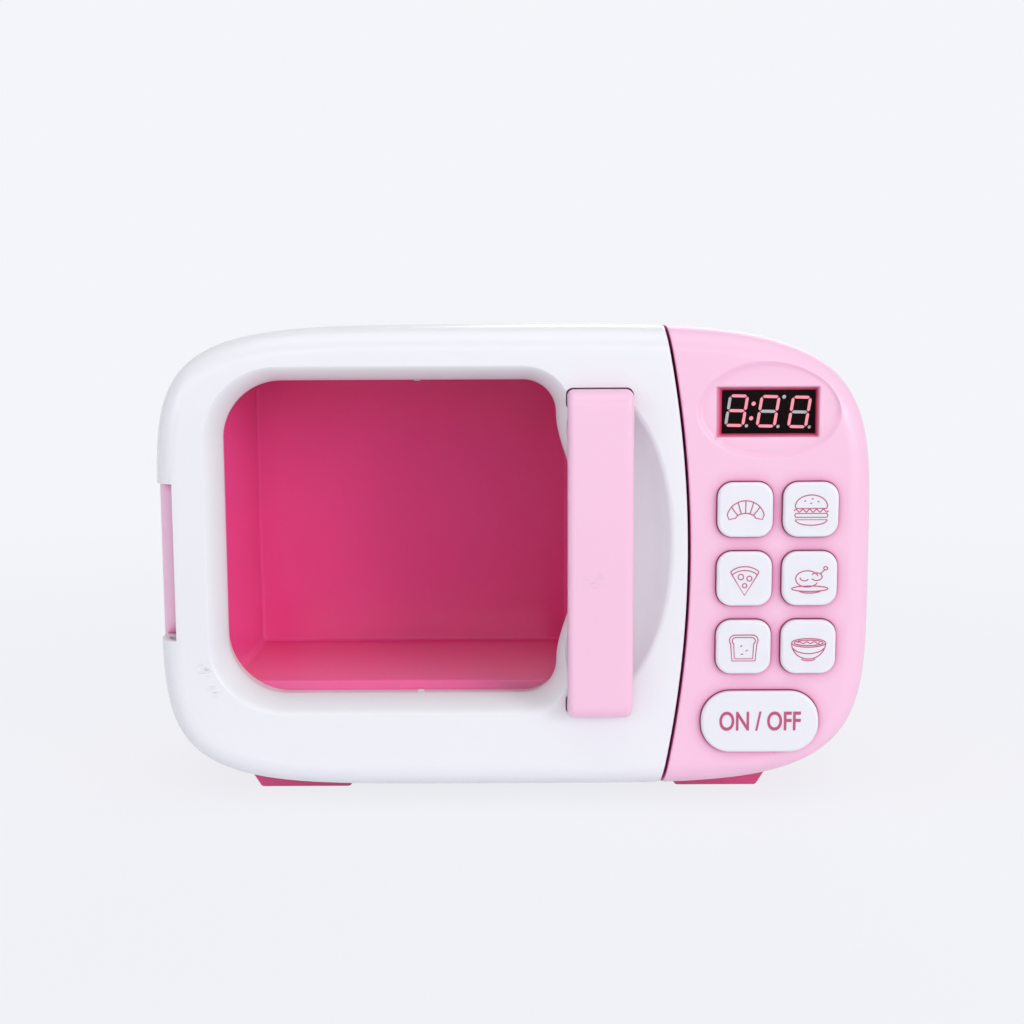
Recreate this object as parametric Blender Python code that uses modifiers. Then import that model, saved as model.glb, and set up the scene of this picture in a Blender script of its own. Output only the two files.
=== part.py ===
"""Toy microwave: a white door with a clear window and a pink handle, a pink panel of buttons and a pink case.

Millimetres are written as a number times mm. X runs to the right, Y to the back, Z up.
The origin lies on the ground under the middle of the overall box.
"""

import math

import bmesh
import bpy
from mathutils import Matrix, Vector

mm = 0.001

# Overall size and general fits
overall_width = 228.6 * mm
overall_depth = 110.0 * mm
wall = 2.2 * mm
gap = 0.3 * mm
overrun = 3.0 * mm
join = 1.0 * mm
weld = 0.001 * mm
small_sides = 10
round_sides = 24
flat_angle = 0.1
sharp_angle = 40.0

# Front form, shared by the door and the control panel
knuckle_proud = 1.3 * mm
handle_proud = 9.0 * mm
front_height = 149.6 * mm
front_clearance = 5.4 * mm
front_depth = 22.0 * mm
front_round = 8.0 * mm
front_round_steps = 3
hidden_round_steps = 2
left_power = 5.3
right_top_power = 4.3
right_bottom_power = 4.7
quarter_steps = 10
spread_power = 1.4
front_half_width = (overall_width - knuckle_proud) / 2
front_half_height = front_height / 2
front_left_x = knuckle_proud - overall_width / 2
front_right_x = overall_width / 2
front_low_z = front_clearance
front_high_z = front_clearance + front_height
front_centre_x = (front_left_x + front_right_x) / 2
front_centre_z = (front_low_z + front_high_z) / 2
face_y = handle_proud - overall_depth / 2
front_back_y = face_y + front_depth
inner_face_y = face_y + wall

# Arc that parts the door from the panel
panel_width = 58.1 * mm
split_rise = 1.3 * mm
split_radius = 350.0 * mm
split_gap = 0.8 * mm
split_sides = 120
split_x = front_right_x - panel_width
split_z = front_centre_z + split_rise

# Case behind the front, a little inside it at the sides and the top
case_gap = 0.6 * mm
case_side_step = 2.45 * mm
case_top_step = 1.5 * mm
case_drop = 1.7 * mm
case_plate = 3.0 * mm
case_plate_round = 1.2 * mm
case_back_round = 10.0 * mm
case_lip_depth = 5.0 * mm
case_lip_wall = 1.6 * mm
case_half_width = front_half_width - case_side_step
case_low_z = front_low_z - case_drop
case_high_z = front_high_z - case_top_step
case_half_height = (case_high_z - case_low_z) / 2
case_centre_z = (case_high_z + case_low_z) / 2
case_left_x = front_centre_x - case_half_width
case_y = front_back_y + case_gap
case_plate_back_y = case_y + case_plate
housing_y = case_plate_back_y + gap
back_y = overall_depth / 2
housing_inner_y = back_y - wall

# Feet, with flat bottoms of these widths
foot_left_inset = 28.2 * mm
foot_right_inset = 32.3 * mm
foot_left_width = 29.9 * mm
foot_right_width = 27.1 * mm
foot_length = 13.0 * mm
foot_front_inset = 4.9 * mm
foot_rear_inset = 12.0 * mm
foot_top_z = 10.0 * mm
foot_flare = 6.0 * mm
foot_side_flare = 2.0 * mm
foot_edge_round = 0.8 * mm
foot_left_x = front_left_x + foot_left_inset
foot_right_x = front_right_x - foot_right_inset
foot_spans = (
    (foot_left_x, foot_left_x + foot_left_width),
    (foot_right_x - foot_right_width, foot_right_x),
)
foot_front_y = case_y + foot_front_inset
foot_rear_y = back_y - foot_rear_inset - foot_length

# Handle
handle_inset = 28.5 * mm
handle_width = 20.5 * mm
handle_low_margin = 25.8 * mm
handle_high_margin = 19.8 * mm
handle_bar = 5.5 * mm
handle_leg = 6.4 * mm
handle_seat = 1.5 * mm
handle_end_radius = 5.0 * mm
handle_inner_radius = 3.0 * mm
handle_edge_round = 2.2 * mm
handle_edge_steps = 3
handle_arc_steps = (4, 3)
handle_sharp_angle = 60.0
tenon_width = 13.0 * mm
tenon_height = 4.4 * mm
tenon_depth = 7.0 * mm
socket_wall = 1.8 * mm
handle_x = split_x - handle_inset
handle_low_z = front_low_z + handle_low_margin
handle_high_z = front_high_z - handle_high_margin

# Finger dish behind the handle
dish_offset = 0.1 * mm
dish_rise = 2.4 * mm
dish_half_width = 23.6 * mm
dish_margin = 2.0 * mm
dish_lead = 3.0 * mm
dish_sides = 32
dish_rows = 16
dish_x = handle_x + dish_offset
dish_z = (handle_low_z + handle_high_z) / 2 + dish_rise
dish_half_height = (handle_high_z - handle_low_z) / 2 - dish_margin

# Window
window_left_margin = 20.8 * mm
window_low_margin = 30.4 * mm
window_high_margin = 17.3 * mm
window_handle_margin = 13.4 * mm
window_left_radius = 19.0 * mm
window_right_radius = 10.5 * mm
window_corner_steps = (4, 6)
window_bulge = 6.3 * mm
window_bulge_share = 0.3
window_bulge_steps = 6
window_depth = 11.0 * mm
window_flare = 5.0 * mm
window_flare_steps = 4
pane_thickness = 1.2 * mm
pane_lap = 3.0 * mm
tab_offset = 8.95 * mm
tab_width = 3.0 * mm
tab_proud = 1.3 * mm
tab_depth = 1.2 * mm
window_left_x = front_left_x + window_left_margin
window_right_x = handle_x - window_handle_margin
window_floor_z = front_low_z + window_low_margin
window_roof_z = front_high_z - window_high_margin
tab_x = (window_left_x + window_right_x) / 2 + tab_offset

# Cooking cavity, a little larger than the window
cavity_left_margin = 2.3 * mm
cavity_right_margin = 12.2 * mm
cavity_floor_step = 1.2 * mm
cavity_roof_step = 1.8 * mm
cavity_back_margin = 16.0 * mm
cavity_radius = 2.5 * mm
cavity_draft = 1.7 * mm
cavity_wall = 2.0 * mm
cavity_left_x = window_left_x - cavity_left_margin
cavity_right_x = split_x - cavity_right_margin
cavity_floor_z = window_floor_z + cavity_floor_step
cavity_roof_z = window_roof_z + cavity_roof_step
cavity_back_y = back_y - cavity_back_margin

# Door hinge, with its reaches to the right of the axis
hinge_back = 4.0 * mm
knuckle_radius = 5.0 * mm
knuckle_length = 51.2 * mm
knuckle_drop = 1.5 * mm
knuckle_gap = 0.6 * mm
notch_reach = 2.3 * mm
pin_radius = 1.5 * mm
pin_running = 0.06 * mm
lug_height = 8.0 * mm
lug_floor = 1.4 * mm
lug_reach = 7.8 * mm
door_heel_radius = 3.9 * mm
hinge_neck_reach = 3.0 * mm
hinge_base_reach = 10.3 * mm
hinge_base_thickness = 2.0 * mm
hinge_base_inset = 4.0 * mm
hinge_post_reach = 6.0 * mm
hinge_post_radius = 2.6 * mm
hinge_screw_head_radius = 3.9 * mm
hinge_post_inset = 11.0 * mm
hinge_seat_depth = 5.0 * mm
hinge_seat_rim = 1.6 * mm
hinge_x = knuckle_radius - overall_width / 2
hinge_y = front_back_y - hinge_back
hinge_middle_z = front_centre_z - knuckle_drop
knuckle_low_z = hinge_middle_z - knuckle_length / 2
knuckle_high_z = hinge_middle_z + knuckle_length / 2
knuckle_visible_x = hinge_x + notch_reach
lug_right_x = hinge_x + lug_reach
hinge_neck_right_x = hinge_x + hinge_neck_reach
hinge_base_right_x = hinge_x + hinge_base_reach
hinge_post_x = hinge_x + hinge_post_reach

# Latch tongue on the inner door, and its slot
latch_inset = 5.5 * mm
latch_rise = 2.5 * mm
latch_thickness = 2.4 * mm
latch_height = 12.0 * mm
latch_reach = 6.0 * mm
latch_slack = 0.9 * mm
latch_x = split_x - latch_inset
latch_z = split_z + latch_rise

# Screws: radius and height of the head, radius and length of the shank
small_head_radius = 1.9 * mm
small_head_height = 1.3 * mm
small_shank_radius = 0.9 * mm
small_shank_length = 7.0 * mm
case_head_radius = 2.6 * mm
case_head_height = 1.7 * mm
case_shank_radius = 1.3 * mm
case_shank_length = 8.6 * mm
screw_slack = 0.2 * mm
screw_hole_radius = small_shank_radius + screw_slack
case_hole_radius = case_shank_radius + screw_slack
screw_sides = 6
head_crown_share = 0.7
head_side_share = 0.6
small_head = (small_head_radius, small_head_height)
case_head = (case_head_radius, case_head_height)

# Door screws, two in the window's round corners and two above and below the dish
door_post_radius = 2.8 * mm
door_seat_radius = 3.3 * mm
door_seat_floor = 2.2 * mm
door_back_thickness = 2.2 * mm
door_screw_inset = 1.8 * mm
door_screw_high_step = 3.3 * mm
door_screw_low_step = 16.3 * mm
door_screw_side_inset = 14.2 * mm
door_screw_high_margin = 9.0 * mm
door_screw_low_margin = 9.6 * mm
door_screw_places = (
    (window_left_x - door_screw_inset, window_roof_z + door_screw_high_step),
    (window_left_x - door_screw_inset, window_floor_z - door_screw_low_step),
    (split_x - door_screw_side_inset, front_high_z - door_screw_high_margin),
    (split_x - door_screw_side_inset, front_low_z + door_screw_low_margin),
)

# Display, behind an opening in an oval pad
pad_inset = 33.4 * mm
pad_height_share = 0.8209
pad_half_width = 22.7 * mm
pad_half_height = 15.4 * mm
pad_depth = 1.1 * mm
pad_slope = 2.4 * mm
pad_lip_slope = 0.8 * mm
pad_lip_depth = 0.7 * mm
pad_sides = 32
display_width = 30.0 * mm
display_height = 14.1 * mm
display_offset = 0.7 * mm
display_drop = 0.85 * mm
display_depth = 5.0 * mm
display_flare = 2.0 * mm
display_lap = 1.4 * mm
display_rim = 1.6 * mm
pad_x = front_right_x - pad_inset
pad_z = front_low_z + pad_height_share * front_height
display_left_x = pad_x + display_offset - display_width / 2
display_right_x = display_left_x + display_width
display_low_z = pad_z - display_drop - display_height / 2
display_high_z = display_low_z + display_height

# Buttons: three rows of two that fill their rows but for a gap, and the long one below
button_inset = 30.7 * mm
button_row_shares = (0.6163, 0.4693, 0.3229)
button_row_gap = 4.5 * mm
button_column_gap = 3.2 * mm
button_corner_share = 0.276
button_proud = 2.0 * mm
button_flange = 1.0 * mm
button_flange_thickness = 1.5 * mm
button_edge_round = 0.7 * mm
button_wall = 1.6 * mm
button_travel = 1.5 * mm
button_rows = tuple(front_low_z + share * front_height for share in button_row_shares)
button_size = (button_rows[0] - button_rows[2]) / 2 - button_row_gap
button_radius = button_corner_share * button_size
button_middle_x = front_right_x - button_inset
button_half_pitch = (button_size + button_column_gap) / 2
button_columns = (button_middle_x - button_half_pitch, button_middle_x + button_half_pitch)
start_offset = 4.6 * mm
start_height_share = 0.1591
start_inset = 0.25 * mm
start_over = 2.6 * mm
start_flat = 1.2 * mm
start_flange = 0.8 * mm
start_corner_steps = 4
start_x = button_middle_x - start_offset
start_z = front_low_z + start_height_share * front_height
start_width = 2 * (button_half_pitch + button_size / 2 - start_inset)
start_height = button_size + start_over
start_radius = (start_height - start_flat) / 2
plunger_radius = 2.4 * mm

# Rubber keypad and circuit board behind the buttons
dome_radius = 4.2 * mm
dome_top_radius = 2.8 * mm
dome_rest_height = 1.8 * mm
dome_height = dome_rest_height + button_travel
dome_sides = 10
mat_thickness = 1.2 * mm
mat_margin = 8.2 * mm
mat_start_half_width = 13.5 * mm
mat_start_half_height = 7.0 * mm
mat_start_step = 0.1 * mm
mat_radius = 3.0 * mm
mat_start_radius = 1.5 * mm
board_left_reach = 24.2 * mm
board_right_reach = 20.6 * mm
board_low_reach = 9.2 * mm
board_high_reach = 8.8 * mm
board_radius = 8.0 * mm
board_thickness = 1.6 * mm
chip_size = 12.0 * mm
chip_height = 2.4 * mm
board_left_x = button_middle_x - board_left_reach
board_right_x = button_middle_x + board_right_reach
board_low_z = start_z - board_low_reach
board_high_z = pad_z + board_high_reach
board_post_radius = 2.4 * mm
board_high_step = 7.7 * mm
board_high_insets = (4.6 * mm, 4.0 * mm)
board_low_insets = (2.4 * mm, 2.7 * mm)
board_low_rises = (0.2 * mm, -1.6 * mm)
board_screw_high_z = display_low_z - board_high_step
board_screw_low_z = (start_z + button_rows[2]) / 2
board_screw_places = (
    (board_left_x + board_high_insets[0], board_screw_high_z),
    (board_right_x - board_high_insets[1], board_screw_high_z),
    (board_left_x + board_low_insets[0], board_screw_low_z + board_low_rises[0]),
    (board_right_x - board_low_insets[1], board_screw_low_z + board_low_rises[1]),
)
wire_port_offset = 3.6 * mm
wire_port_rise = 6.4 * mm
wire_port_width = 18.0 * mm
wire_port_height = 14.0 * mm
wire_port_x = button_middle_x - wire_port_offset
wire_port_z = button_rows[1] + wire_port_rise

# Panel screws: two at the split, one above the display and one below the long button
panel_post_radius = 3.0 * mm
panel_screw_insets = (0.7 * mm, 1.4 * mm)
panel_screw_high_margin = 8.8 * mm
panel_screw_low_margin = 9.1 * mm
panel_screw_display_offset = 2.4 * mm
panel_screw_display_rise = 7.0 * mm
panel_screw_start_offset = 9.0 * mm
panel_screw_places = (
    (split_x - panel_screw_insets[0], front_high_z - panel_screw_high_margin),
    (pad_x + display_offset + panel_screw_display_offset, display_high_z + panel_screw_display_rise),
    (split_x - panel_screw_insets[1], front_low_z + panel_screw_low_margin),
    (start_x + panel_screw_start_offset, front_low_z + panel_screw_low_margin),
)

# Screws that hold the rear housing: beside, above and below the cavity
case_post_radius = 3.8 * mm
case_bore_radius = 2.8 * mm
case_post_depth = 7.4 * mm
case_seat_floor = 2.5 * mm
case_screw_left_insets = (53.0 * mm, 28.0 * mm)
case_screw_right_insets = (16.3 * mm, 17.8 * mm)
case_screw_roof_step = 6.9 * mm
case_screw_high_margin = 25.5 * mm
case_screw_low_margins = (16.3 * mm, 18.8 * mm)
case_screw_places = (
    (front_left_x + case_screw_left_insets[0], cavity_roof_z + case_screw_roof_step),
    (front_right_x - case_screw_right_insets[0], case_high_z - case_screw_high_margin),
    (front_left_x + case_screw_left_insets[1], case_low_z + case_screw_low_margins[0]),
    (front_right_x - case_screw_right_insets[1], case_low_z + case_screw_low_margins[1]),
)

# Speaker behind a grille in the back
speaker_margin = 21.3 * mm
speaker_offset = 3.5 * mm
speaker_radius = 13.5 * mm
speaker_rim = 1.6 * mm
speaker_depth = 6.5 * mm
speaker_magnet_radius = 7.0 * mm
speaker_seat_radius = 11.0 * mm
speaker_mouth_depth = 3.2 * mm
speaker_ring_wall = 1.6 * mm
speaker_ring_depth = 6.0 * mm
grille_slots = 5
grille_pitch = 3.6 * mm
grille_slot = 1.6 * mm

# Battery bay above it: three AA cells upright
cell_radius = 7.1 * mm
cell_length = 50.5 * mm
cell_nub_radius = 2.75 * mm
cell_nub_height = 1.2 * mm
cell_pitch = 14.7 * mm
cell_count = 3
cell_sides = 14
cell_edge = 0.3 * mm
bay_inset = 37.8 * mm
bay_rise = 21.0 * mm
bay_wall = 1.6 * mm
contact_thickness = 0.8 * mm
contact_bump = 0.8 * mm
contact_bump_radius = 2.2 * mm
contact_tip_radius = 1.1 * mm
contact_inset = 1.0 * mm
cover_thickness = 1.8 * mm
cover_margin = 2.6 * mm
cover_head = 6.6 * mm
cover_ledge = 2.6 * mm
cover_radius = 2.5 * mm
cover_seat_floor = 0.9 * mm
cover_tab_width = 13.0 * mm
cover_tab_thickness = 1.4 * mm
cover_tab_reach = 2.2 * mm
cover_post_radius = 3.0 * mm
cover_post_depth = 9.0 * mm
bay_x = front_right_x - bay_inset
speaker_x = bay_x - speaker_offset
speaker_z = case_low_z + speaker_margin
speaker_seat_y = housing_inner_y - speaker_mouth_depth
bay_low_z = speaker_z + bay_rise


def linear(channel):
    """One sRGB channel from 0 to 1 as linear light."""
    return channel / 12.92 if channel <= 0.04045 else ((channel + 0.055) / 1.055) ** 2.4


def finish(name, colour, roughness, metallic=0.0, alpha=1.0):
    """A Principled material from a hex colour."""
    material = bpy.data.materials.new(name)
    material.use_nodes = True
    shader = material.node_tree.nodes["Principled BSDF"]
    channels = [linear(int(colour[i : i + 2], 16) / 255) for i in (0, 2, 4)]
    shader.inputs["Base Color"].default_value = (*channels, 1.0)
    shader.inputs["Roughness"].default_value = roughness
    shader.inputs["Metallic"].default_value = metallic
    shader.inputs["Alpha"].default_value = alpha
    return material


def collection(name, helper=False):
    """A new collection in the scene; a helper's collection stays out of renders."""
    made = bpy.data.collections.new(name)
    bpy.context.scene.collection.children.link(made)
    made.hide_render = helper
    return made


def tool(name, shape):
    """A mesh object that cuts or joins, from a bmesh that it frees."""
    bmesh.ops.recalc_face_normals(shape, faces=shape.faces)
    mesh = bpy.data.meshes.new(name)
    shape.to_mesh(mesh)
    shape.free()
    made = bpy.data.objects.new(name, mesh)
    made.hide_render = True
    made.display_type = "WIRE"
    tools.objects.link(made)
    return made


def part(shape, name, material):
    """Turns a tool into a named piece of the object."""
    tools.objects.unlink(shape)
    parts.objects.link(shape)
    shape.name = name
    shape.data.name = name
    shape.hide_render = False
    shape.display_type = "TEXTURED"
    shape.data.materials.append(material)
    shape.data.shade_smooth()
    shape.data.set_sharp_from_angle(angle=math.radians(sharp_angle))
    return shape


def boolean(target, other, operation):
    """Joins or cuts the target with the other object."""
    modifier = target.modifiers.new(f"{operation.lower()} {other.name}", "BOOLEAN")
    modifier.operation = operation
    modifier.solver = "EXACT"
    modifier.object = other
    return target


def add(target, *others):
    """Joins each other solid to the target."""
    for other in others:
        boolean(target, other, "UNION")
    return target


def cut(target, *others):
    """Takes each other solid out of the target."""
    for other in others:
        boolean(target, other, "DIFFERENCE")
    return target


def block(name, x, y, z):
    """A box between two values on each axis."""
    shape = bmesh.new()
    middle = Vector((sum(x) / 2, sum(y) / 2, sum(z) / 2))
    size = (x[1] - x[0], y[1] - y[0], z[1] - z[0])
    bmesh.ops.create_cube(shape, size=1, matrix=Matrix.Translation(middle) @ Matrix.Diagonal((*size, 1)))
    return tool(name, shape)


def rod(name, start, end, radius, end_radius=None, sides=small_sides):
    """A round bar or cone between two points."""
    shape = bmesh.new()
    run = Vector(end) - Vector(start)
    turn = run.to_track_quat("Z", "Y").to_matrix().to_4x4()
    place = Matrix.Translation((Vector(start) + Vector(end)) / 2) @ turn
    bmesh.ops.create_cone(
        shape,
        cap_ends=True,
        segments=sides,
        radius1=radius,
        radius2=radius if end_radius is None else end_radius,
        depth=run.length,
        matrix=place,
    )
    return tool(name, shape)


def peg(name, x, z, front, back, radius, sides=small_sides):
    """A round bar along Y."""
    return rod(name, (x, front, z), (x, back, z), radius, sides=sides)


def slab(name, outline, front, back, front_edge=0, back_edge=0, steps=2):
    """A flat outline in X and Z with a thickness along Y, and rounded edges where asked."""
    curve = bpy.data.curves.new(name, "CURVE")
    curve.dimensions = "2D"
    curve.fill_mode = "BOTH"
    curve.extrude = (back - front) / 2
    spline = curve.splines.new("POLY")
    spline.points.add(len(outline) - 1)
    for point, (x, z) in zip(spline.points, outline):
        point.co = (x, z, 0, 1)
    spline.use_cyclic_u = True
    guide = bpy.data.objects.new(name, curve)
    tools.objects.link(guide)
    bpy.context.view_layer.update()
    mesh = bpy.data.meshes.new_from_object(guide.evaluated_get(bpy.context.evaluated_depsgraph_get()))
    shape = bmesh.new()
    shape.from_mesh(mesh)
    bpy.data.objects.remove(guide)
    bpy.data.meshes.remove(mesh)
    upright = Matrix.Translation((0, (front + back) / 2, 0)) @ Matrix.Rotation(math.pi / 2, 4, "X")
    bmesh.ops.transform(shape, matrix=upright, verts=shape.verts)
    bmesh.ops.remove_doubles(shape, verts=shape.verts, dist=weld)
    limit = math.radians(flat_angle)
    bmesh.ops.dissolve_limit(shape, angle_limit=limit, verts=shape.verts, edges=shape.edges)
    for level, radius in ((front, front_edge), (back, back_edge)):
        if radius:
            rim = [e for e in shape.edges if all(abs(v.co.y - level) < weld for v in e.verts)]
            bmesh.ops.bevel(shape, geom=rim, offset=radius, segments=steps, profile=0.5, affect="EDGES")
    return tool(name, shape)


def loft(name, rings):
    """A closed solid through rings of matching points, with flat ends."""
    shape = bmesh.new()
    rows = [[shape.verts.new(point) for point in ring] for ring in rings]
    for low, high in zip(rows, rows[1:]):
        for i, vertex in enumerate(low):
            shape.faces.new((low[i - 1], vertex, high[i], high[i - 1]))
    shape.faces.new(rows[0])
    shape.faces.new(reversed(rows[-1]))
    return tool(name, shape)


def rectangle_ring(x, y, z):
    """The four corners of a level rectangle, anticlockwise from above."""
    return [(x[0], y[0], z), (x[1], y[0], z), (x[1], y[1], z), (x[0], y[1], z)]


def turned(name, profile, base, direction, sides):
    """A turned solid: profile is (radius, height) from the top's middle down its outer side."""
    shape = bmesh.new()
    points = [shape.verts.new((radius, 0, height)) for radius, height in profile]
    for upper, lower in zip(points, points[1:]):
        shape.edges.new((upper, lower))
    mesh = bpy.data.meshes.new(name)
    shape.to_mesh(mesh)
    shape.free()
    made = bpy.data.objects.new(name, mesh)
    turn = Vector(direction).to_track_quat("Z", "Y").to_matrix().to_4x4()
    made.matrix_world = Matrix.Translation(base) @ turn
    made.hide_render = True
    tools.objects.link(made)
    screw = made.modifiers.new("turn", "SCREW")
    screw.steps = sides
    screw.render_steps = sides
    screw.use_merge_vertices = True
    screw.merge_threshold = weld
    return made


def arc(centre_x, centre_z, radius, start, end, steps):
    """Points of an arc in X and Z, angles in degrees."""
    turns = (math.radians(start + (end - start) * i / steps) for i in range(steps + 1))
    return [(centre_x + radius * math.cos(t), centre_z + radius * math.sin(t)) for t in turns]


def rounded(low_x, high_x, low_z, high_z, radius, steps=3):
    """A rectangle with round corners, anticlockwise."""
    left, right = low_x + radius, high_x - radius
    bottom, top = low_z + radius, high_z - radius
    return (
        arc(right, bottom, radius, -90, 0, steps)
        + arc(right, top, radius, 0, 90, steps)
        + arc(left, top, radius, 90, 180, steps)
        + arc(left, bottom, radius, 180, 270, steps)
    )


def soft_square(half_width, half_height, centre_z, inset=0):
    """The swollen square outline of the front and the case, drawn in by inset."""
    points = []
    for quarter, power in enumerate((right_top_power, left_power, left_power, right_bottom_power)):
        for step in range(quarter_steps):
            even = math.pi / 2 * step / quarter_steps
            spread = math.atan(math.tan(even) ** spread_power)
            turn = math.pi / 2 * quarter + spread
            across, up = math.cos(turn), math.sin(turn)
            x_share = math.copysign(abs(across) ** (2 / power), across)
            z_share = math.copysign(abs(up) ** (2 / power), up)
            slope = Vector(
                (
                    math.copysign(abs(x_share) ** (power - 1), across) / half_width,
                    math.copysign(abs(z_share) ** (power - 1), up) / half_height,
                )
            ).normalized()
            x = front_centre_x + half_width * x_share - inset * slope.x
            z = centre_z + half_height * z_share - inset * slope.y
            points.append((x, z))
    return points


def front_outline(inset=0):
    return soft_square(front_half_width, front_half_height, front_centre_z, inset)


def case_outline(inset=0):
    return soft_square(case_half_width, case_half_height, case_centre_z, inset)


def window_outline(grow=0):
    """The window seen from the front, moved out by grow; its right side swells into the dish."""
    left, right = window_left_x - grow, window_right_x + grow
    low, high = window_floor_z - grow, window_roof_z + grow
    left_radius, right_radius = window_left_radius + grow, window_right_radius + grow
    middle, chord = (low + high) / 2, (high - low) / 2 - right_radius
    rise = []
    for step in range(window_bulge_steps + 1):
        share = step / window_bulge_steps
        height = chord * (1 - (1 - window_bulge_share) * share)
        rise.append((right + window_bulge * share**2 * (3 - 2 * share), height))
    bulge = [(x, middle - height) for x, height in rise]
    bulge += [(x, middle + height) for x, height in reversed(rise)]
    right_steps, left_steps = window_corner_steps
    return (
        arc(right - right_radius, low + right_radius, right_radius, -90, 0, right_steps)[:-1]
        + bulge
        + arc(right - right_radius, high - right_radius, right_radius, 0, 90, right_steps)[1:]
        + arc(left + left_radius, high - left_radius, left_radius, 90, 180, left_steps)
        + arc(left + left_radius, low + left_radius, left_radius, 180, 270, left_steps)
    )


def window_funnel(name, grow, start):
    """The window's flared opening as a solid from start to its depth, or past it where nothing is grown."""
    rings = [[(x, face_y + start, z) for x, z in window_outline(window_flare + grow)]]
    for step in range(window_flare_steps + 1):
        turn = math.pi / 2 * step / window_flare_steps
        y = face_y + window_depth * (1 - math.cos(turn))
        if y > face_y + start:
            offset = window_flare * (1 - math.sin(turn)) + grow
            rings.append([(x, y, z) for x, z in window_outline(offset)])
    if not grow:
        back = face_y + window_depth + overrun
        rings.append([(x, back, z) for x, z in window_outline()])
    return loft(name, rings)


def dish(name, grow):
    """The finger dish as an ellipsoid, moved out by grow."""
    depth = window_depth - wall + dish_lead
    shape = bmesh.new()
    thin_out = 2 if grow else 1
    size = (dish_half_width + grow, depth + grow, dish_half_height + grow)
    place = Matrix.Translation((dish_x, face_y - dish_lead, dish_z)) @ Matrix.Diagonal((*size, 1))
    bmesh.ops.create_uvsphere(
        shape, u_segments=dish_sides // thin_out, v_segments=dish_rows // thin_out, radius=1, matrix=place
    )
    return tool(name, shape)


def split_cylinder(name, grow):
    """The large upright disc whose edge parts the door from the panel."""
    start = (split_x - split_radius, face_y - front_depth, split_z)
    end = (split_x - split_radius, front_back_y + front_depth, split_z)
    return rod(name, start, end, split_radius + grow, sides=split_sides)


def front_form(name, inset, back):
    """The rounded front form shared by the door and the panel, drawn in by inset."""
    return slab(
        name,
        front_outline(inset),
        face_y + inset,
        back,
        front_edge=front_round - inset,
        steps=hidden_round_steps if inset else front_round_steps,
    )


def within(name, limit, *solids):
    """The solids joined and held inside a limiting form, so that none breaks its surface."""
    first, *others = solids
    add(first, *others)
    first.name = name
    return boolean(first, limit, "INTERSECT")


def hinge_axis_point(z):
    return (hinge_x, hinge_y, z)


def screw(name, x, y, z, head, shank, length):
    """A pan-head screw along Y, its head behind y and its shank in front."""
    head_radius, head_height = head
    profile = (
        (0, head_height),
        (head_radius * head_crown_share, head_height),
        (head_radius, head_height * head_side_share),
        (head_radius, 0),
        (shank, 0),
        (shank, -length + shank),
        (0, -length),
    )
    return part(turned(name, profile, (x, y, z), (0, 1, 0), screw_sides), name, steel)


def small_screw(name, x, y, z, head=small_head):
    return screw(name, x, y, z, head, small_shank_radius, small_shank_length)


def door_heel(name, low_z, high_z):
    """What is taken off the door's rear left edge, so that it turns clear of the case."""
    reach = hinge_back + overrun
    shape = block(
        name,
        (hinge_x - knuckle_radius - overrun, hinge_x),
        (hinge_y, hinge_y + reach),
        (low_z, high_z),
    )
    ends = (hinge_axis_point(low_z - overrun), hinge_axis_point(high_z + overrun))
    return cut(shape, rod(f"{name}_round", *ends, door_heel_radius, sides=round_sides))


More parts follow.
